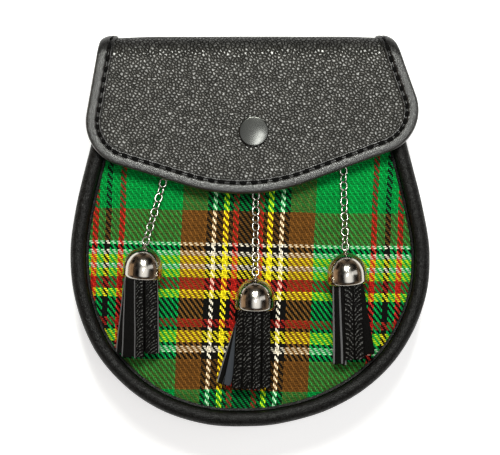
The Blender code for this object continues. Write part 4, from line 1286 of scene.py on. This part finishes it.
class SPORRAN_OT_bell_caps(bpy.types.Operator):
    """Make the bright bell caps with their eyes"""
    bl_idname = "sporran.bell_caps"
    bl_label = "Bell caps"

    def execute(self, context):
        sizes = context.scene.sporran_metal
        chrome = metal("Pressed brass, chrome plated and polished", "c4bfb6", 0.14)
        radius, height = sizes.cap_radius / MM, sizes.cap_height / MM
        shoulder, rim, wall = 4.9, 2.4, 0.6
        outer = [(0.0, height)]
        outer += [(radius * math.sin(turn), shoulder + (height - shoulder) * math.cos(turn))
                  for turn in quarter_turn(24)]
        outer += [(radius - rim * (1 - math.cos(turn)) * 0.8, rim * (1 - math.sin(turn)))
                  for turn in (0, *quarter_turn(10))]
        rim_inside = [(r - wall, h) for r, h in reversed(outer[-12:])]
        dome_inside = [(max(0.0, r - wall), h - wall) for r, h in reversed(outer[4:-12:3])]
        profile = [*outer, *rim_inside, *dome_inside, (0.0, height - wall)]
        foot = [(0.0, 1.2), (0.75, 1.1), (0.8, 0.7), (1.6, 0.25), (2.0, -0.3), (0.0, -0.3)]
        across, wire = 3.8 * MM, 0.8 * MM
        eye = Matrix.Translation((0.0, eye_rise(sizes), 0.0)) @ Matrix.Rotation(math.pi / 2, 4, "Y")
        for tassel in TASSELS:
            bm = bmesh.new()
            place = tassel_frame(tassel)
            turned(bm, profile, 72, place @ UPRIGHT)
            wire_ring(bm, place @ eye, across, across, wire)
            turned(bm, foot, 24, place @ UPRIGHT @ Matrix.Translation((0.0, 0.0, (height - 0.1) * MM)))
            name = tassel.name
            worn_by(make_object(f"bell_cap_{name}", bm, chrome), "chrome", f"tassel_cap_{name}")
        return {"FINISHED"}


class SPORRAN_OT_chains(bpy.types.Operator):
    """Make the chains link by link, with the rivets that hold them"""
    bl_idname = "sporran.chains"
    bl_label = "Chains"

    def execute(self, context):
        sizes = context.scene.sporran_metal
        steel = metal("Steel wire, nickel plated", "c4c2bc", 0.26)
        nickel = metal("Rivet brass, black nickel plated", "77787a", 0.3)
        chance = random.Random(11)
        for tassel in TASSELS:
            name = tassel.name
            bm = bmesh.new()
            place = link_up(bm, chain_path(tassel, sizes), sizes, chance)
            worn_by(make_object(f"links_{name}", bm, steel), "chrome", f"chain_{name}")
            head = place.z / MM + 2.0
            bm = bmesh.new()
            profile = [(0.0, head + 0.9), (1.2, head + 0.8), (1.9, head + 0.35), (2.0, head), (0.75, head),
                       (0.75, FRONT_OUTSIDE), (0.0, FRONT_OUTSIDE)]
            turned(bm, profile, 28, Matrix.Translation((place.x, place.y, 0.0)))
            worn_by(make_object(f"rivet_{name}", bm, nickel), "dark_nickel", f"chain_rivet_{name}")
        return {"FINISHED"}


class SPORRAN_OT_tassels(bpy.types.Operator):
    """Make the leather strips of the tassels and the rolls that they hang from"""
    bl_idname = "sporran.tassels"
    bl_label = "Tassels"

    def execute(self, context):
        leather = context.scene.sporran_leather
        black = darker(leather.black, 0.45)
        faces = {
            "pressed": pressed_leather(black),
            "plain": smooth_leather("Tassel leather, plain", black, 0.5, 0.3, polish=0.07, grain=0.6),
            "slate": smooth_leather("Tassel leather, smooth slate side", leather.slate, 0.5, 0.1, polish=0.2),
            "edge": smooth_leather("Tassel leather, cut edge", leather.cut_edge, 0.6, 0.1),
        }
        slots = list(faces)
        dark, pale = slots.index("plain"), slots.index("edge")
        rolled = [(0.0, 9.0), (6.3, 9.0), (6.5, 8.7), (6.5, -4.7), (6.3, -5.0), (0.0, -5.0)]
        for number, tassel in enumerate(TASSELS):
            bm = bmesh.new()
            bm.verts.layers.float.new("crest")
            for index, strip in enumerate(tassel.strips):
                upper, lower, crests = strip_rows(tassel, strip, 10 * number + index)
                ends = [pale if strip.pale in (side, 2) else dark for side in (-1, 1)]
                strip_mesh(bm, upper, lower, crests, slots.index(strip.face), (*ends, dark))
            turned(bm, rolled, 32, tassel_frame(tassel) @ UPRIGHT, dark)
            name = tassel.name
            strips = make_object(f"strips_{name}", bm, *faces.values(), sharp=50.0)
            worn_by(strips, "tassel_leather", f"tassel_{name}")
        return {"FINISHED"}


class SPORRAN_PT_panel(bpy.types.Panel):
    """Lists the pieces of the pouch"""
    bl_idname = "SPORRAN_PT_panel"
    bl_label = "Sporran pouch"
    bl_space_type = "VIEW_3D"
    bl_region_type = "UI"
    bl_category = "Sporran"

    def draw(self, context):
        for operator in OPERATORS:
            self.layout.operator(operator.bl_idname)
        for name in SETTINGS:
            box = self.layout.box()
            group = getattr(context.scene, name)
            for key in group.bl_rna.properties.keys():
                if key not in ("rna_type", "name"):
                    box.prop(group, key)


SETTINGS = {
    "sporran_leather": SporranLeather,
    "sporran_tartan": SporranTartan,
    "sporran_metal": SporranMetal,
    "sporran_stitches": SporranStitches,
    "sporran_stage": SporranStage,
}
OPERATORS = (
    SPORRAN_OT_stage, SPORRAN_OT_body, SPORRAN_OT_tartan_front, SPORRAN_OT_flap, SPORRAN_OT_press_stud,
    SPORRAN_OT_belt_loops, SPORRAN_OT_bell_caps, SPORRAN_OT_chains, SPORRAN_OT_tassels,
)


def register():
    for group in (*SETTINGS.values(), *OPERATORS, SPORRAN_PT_panel):
        bpy.utils.register_class(group)
    for name, group in SETTINGS.items():
        setattr(bpy.types.Scene, name, PointerProperty(type=group))


def unregister():
    for name in SETTINGS:
        delattr(bpy.types.Scene, name)
    for group in (SPORRAN_PT_panel, *reversed(OPERATORS), *SETTINGS.values()):
        bpy.utils.unregister_class(group)


def main():
    register()
    for operator in OPERATORS:
        group, name = operator.bl_idname.split(".")
        getattr(getattr(bpy.ops, group), name)()
    bpy.context.view_layer.update()


if __name__ == "__main__":
    main()
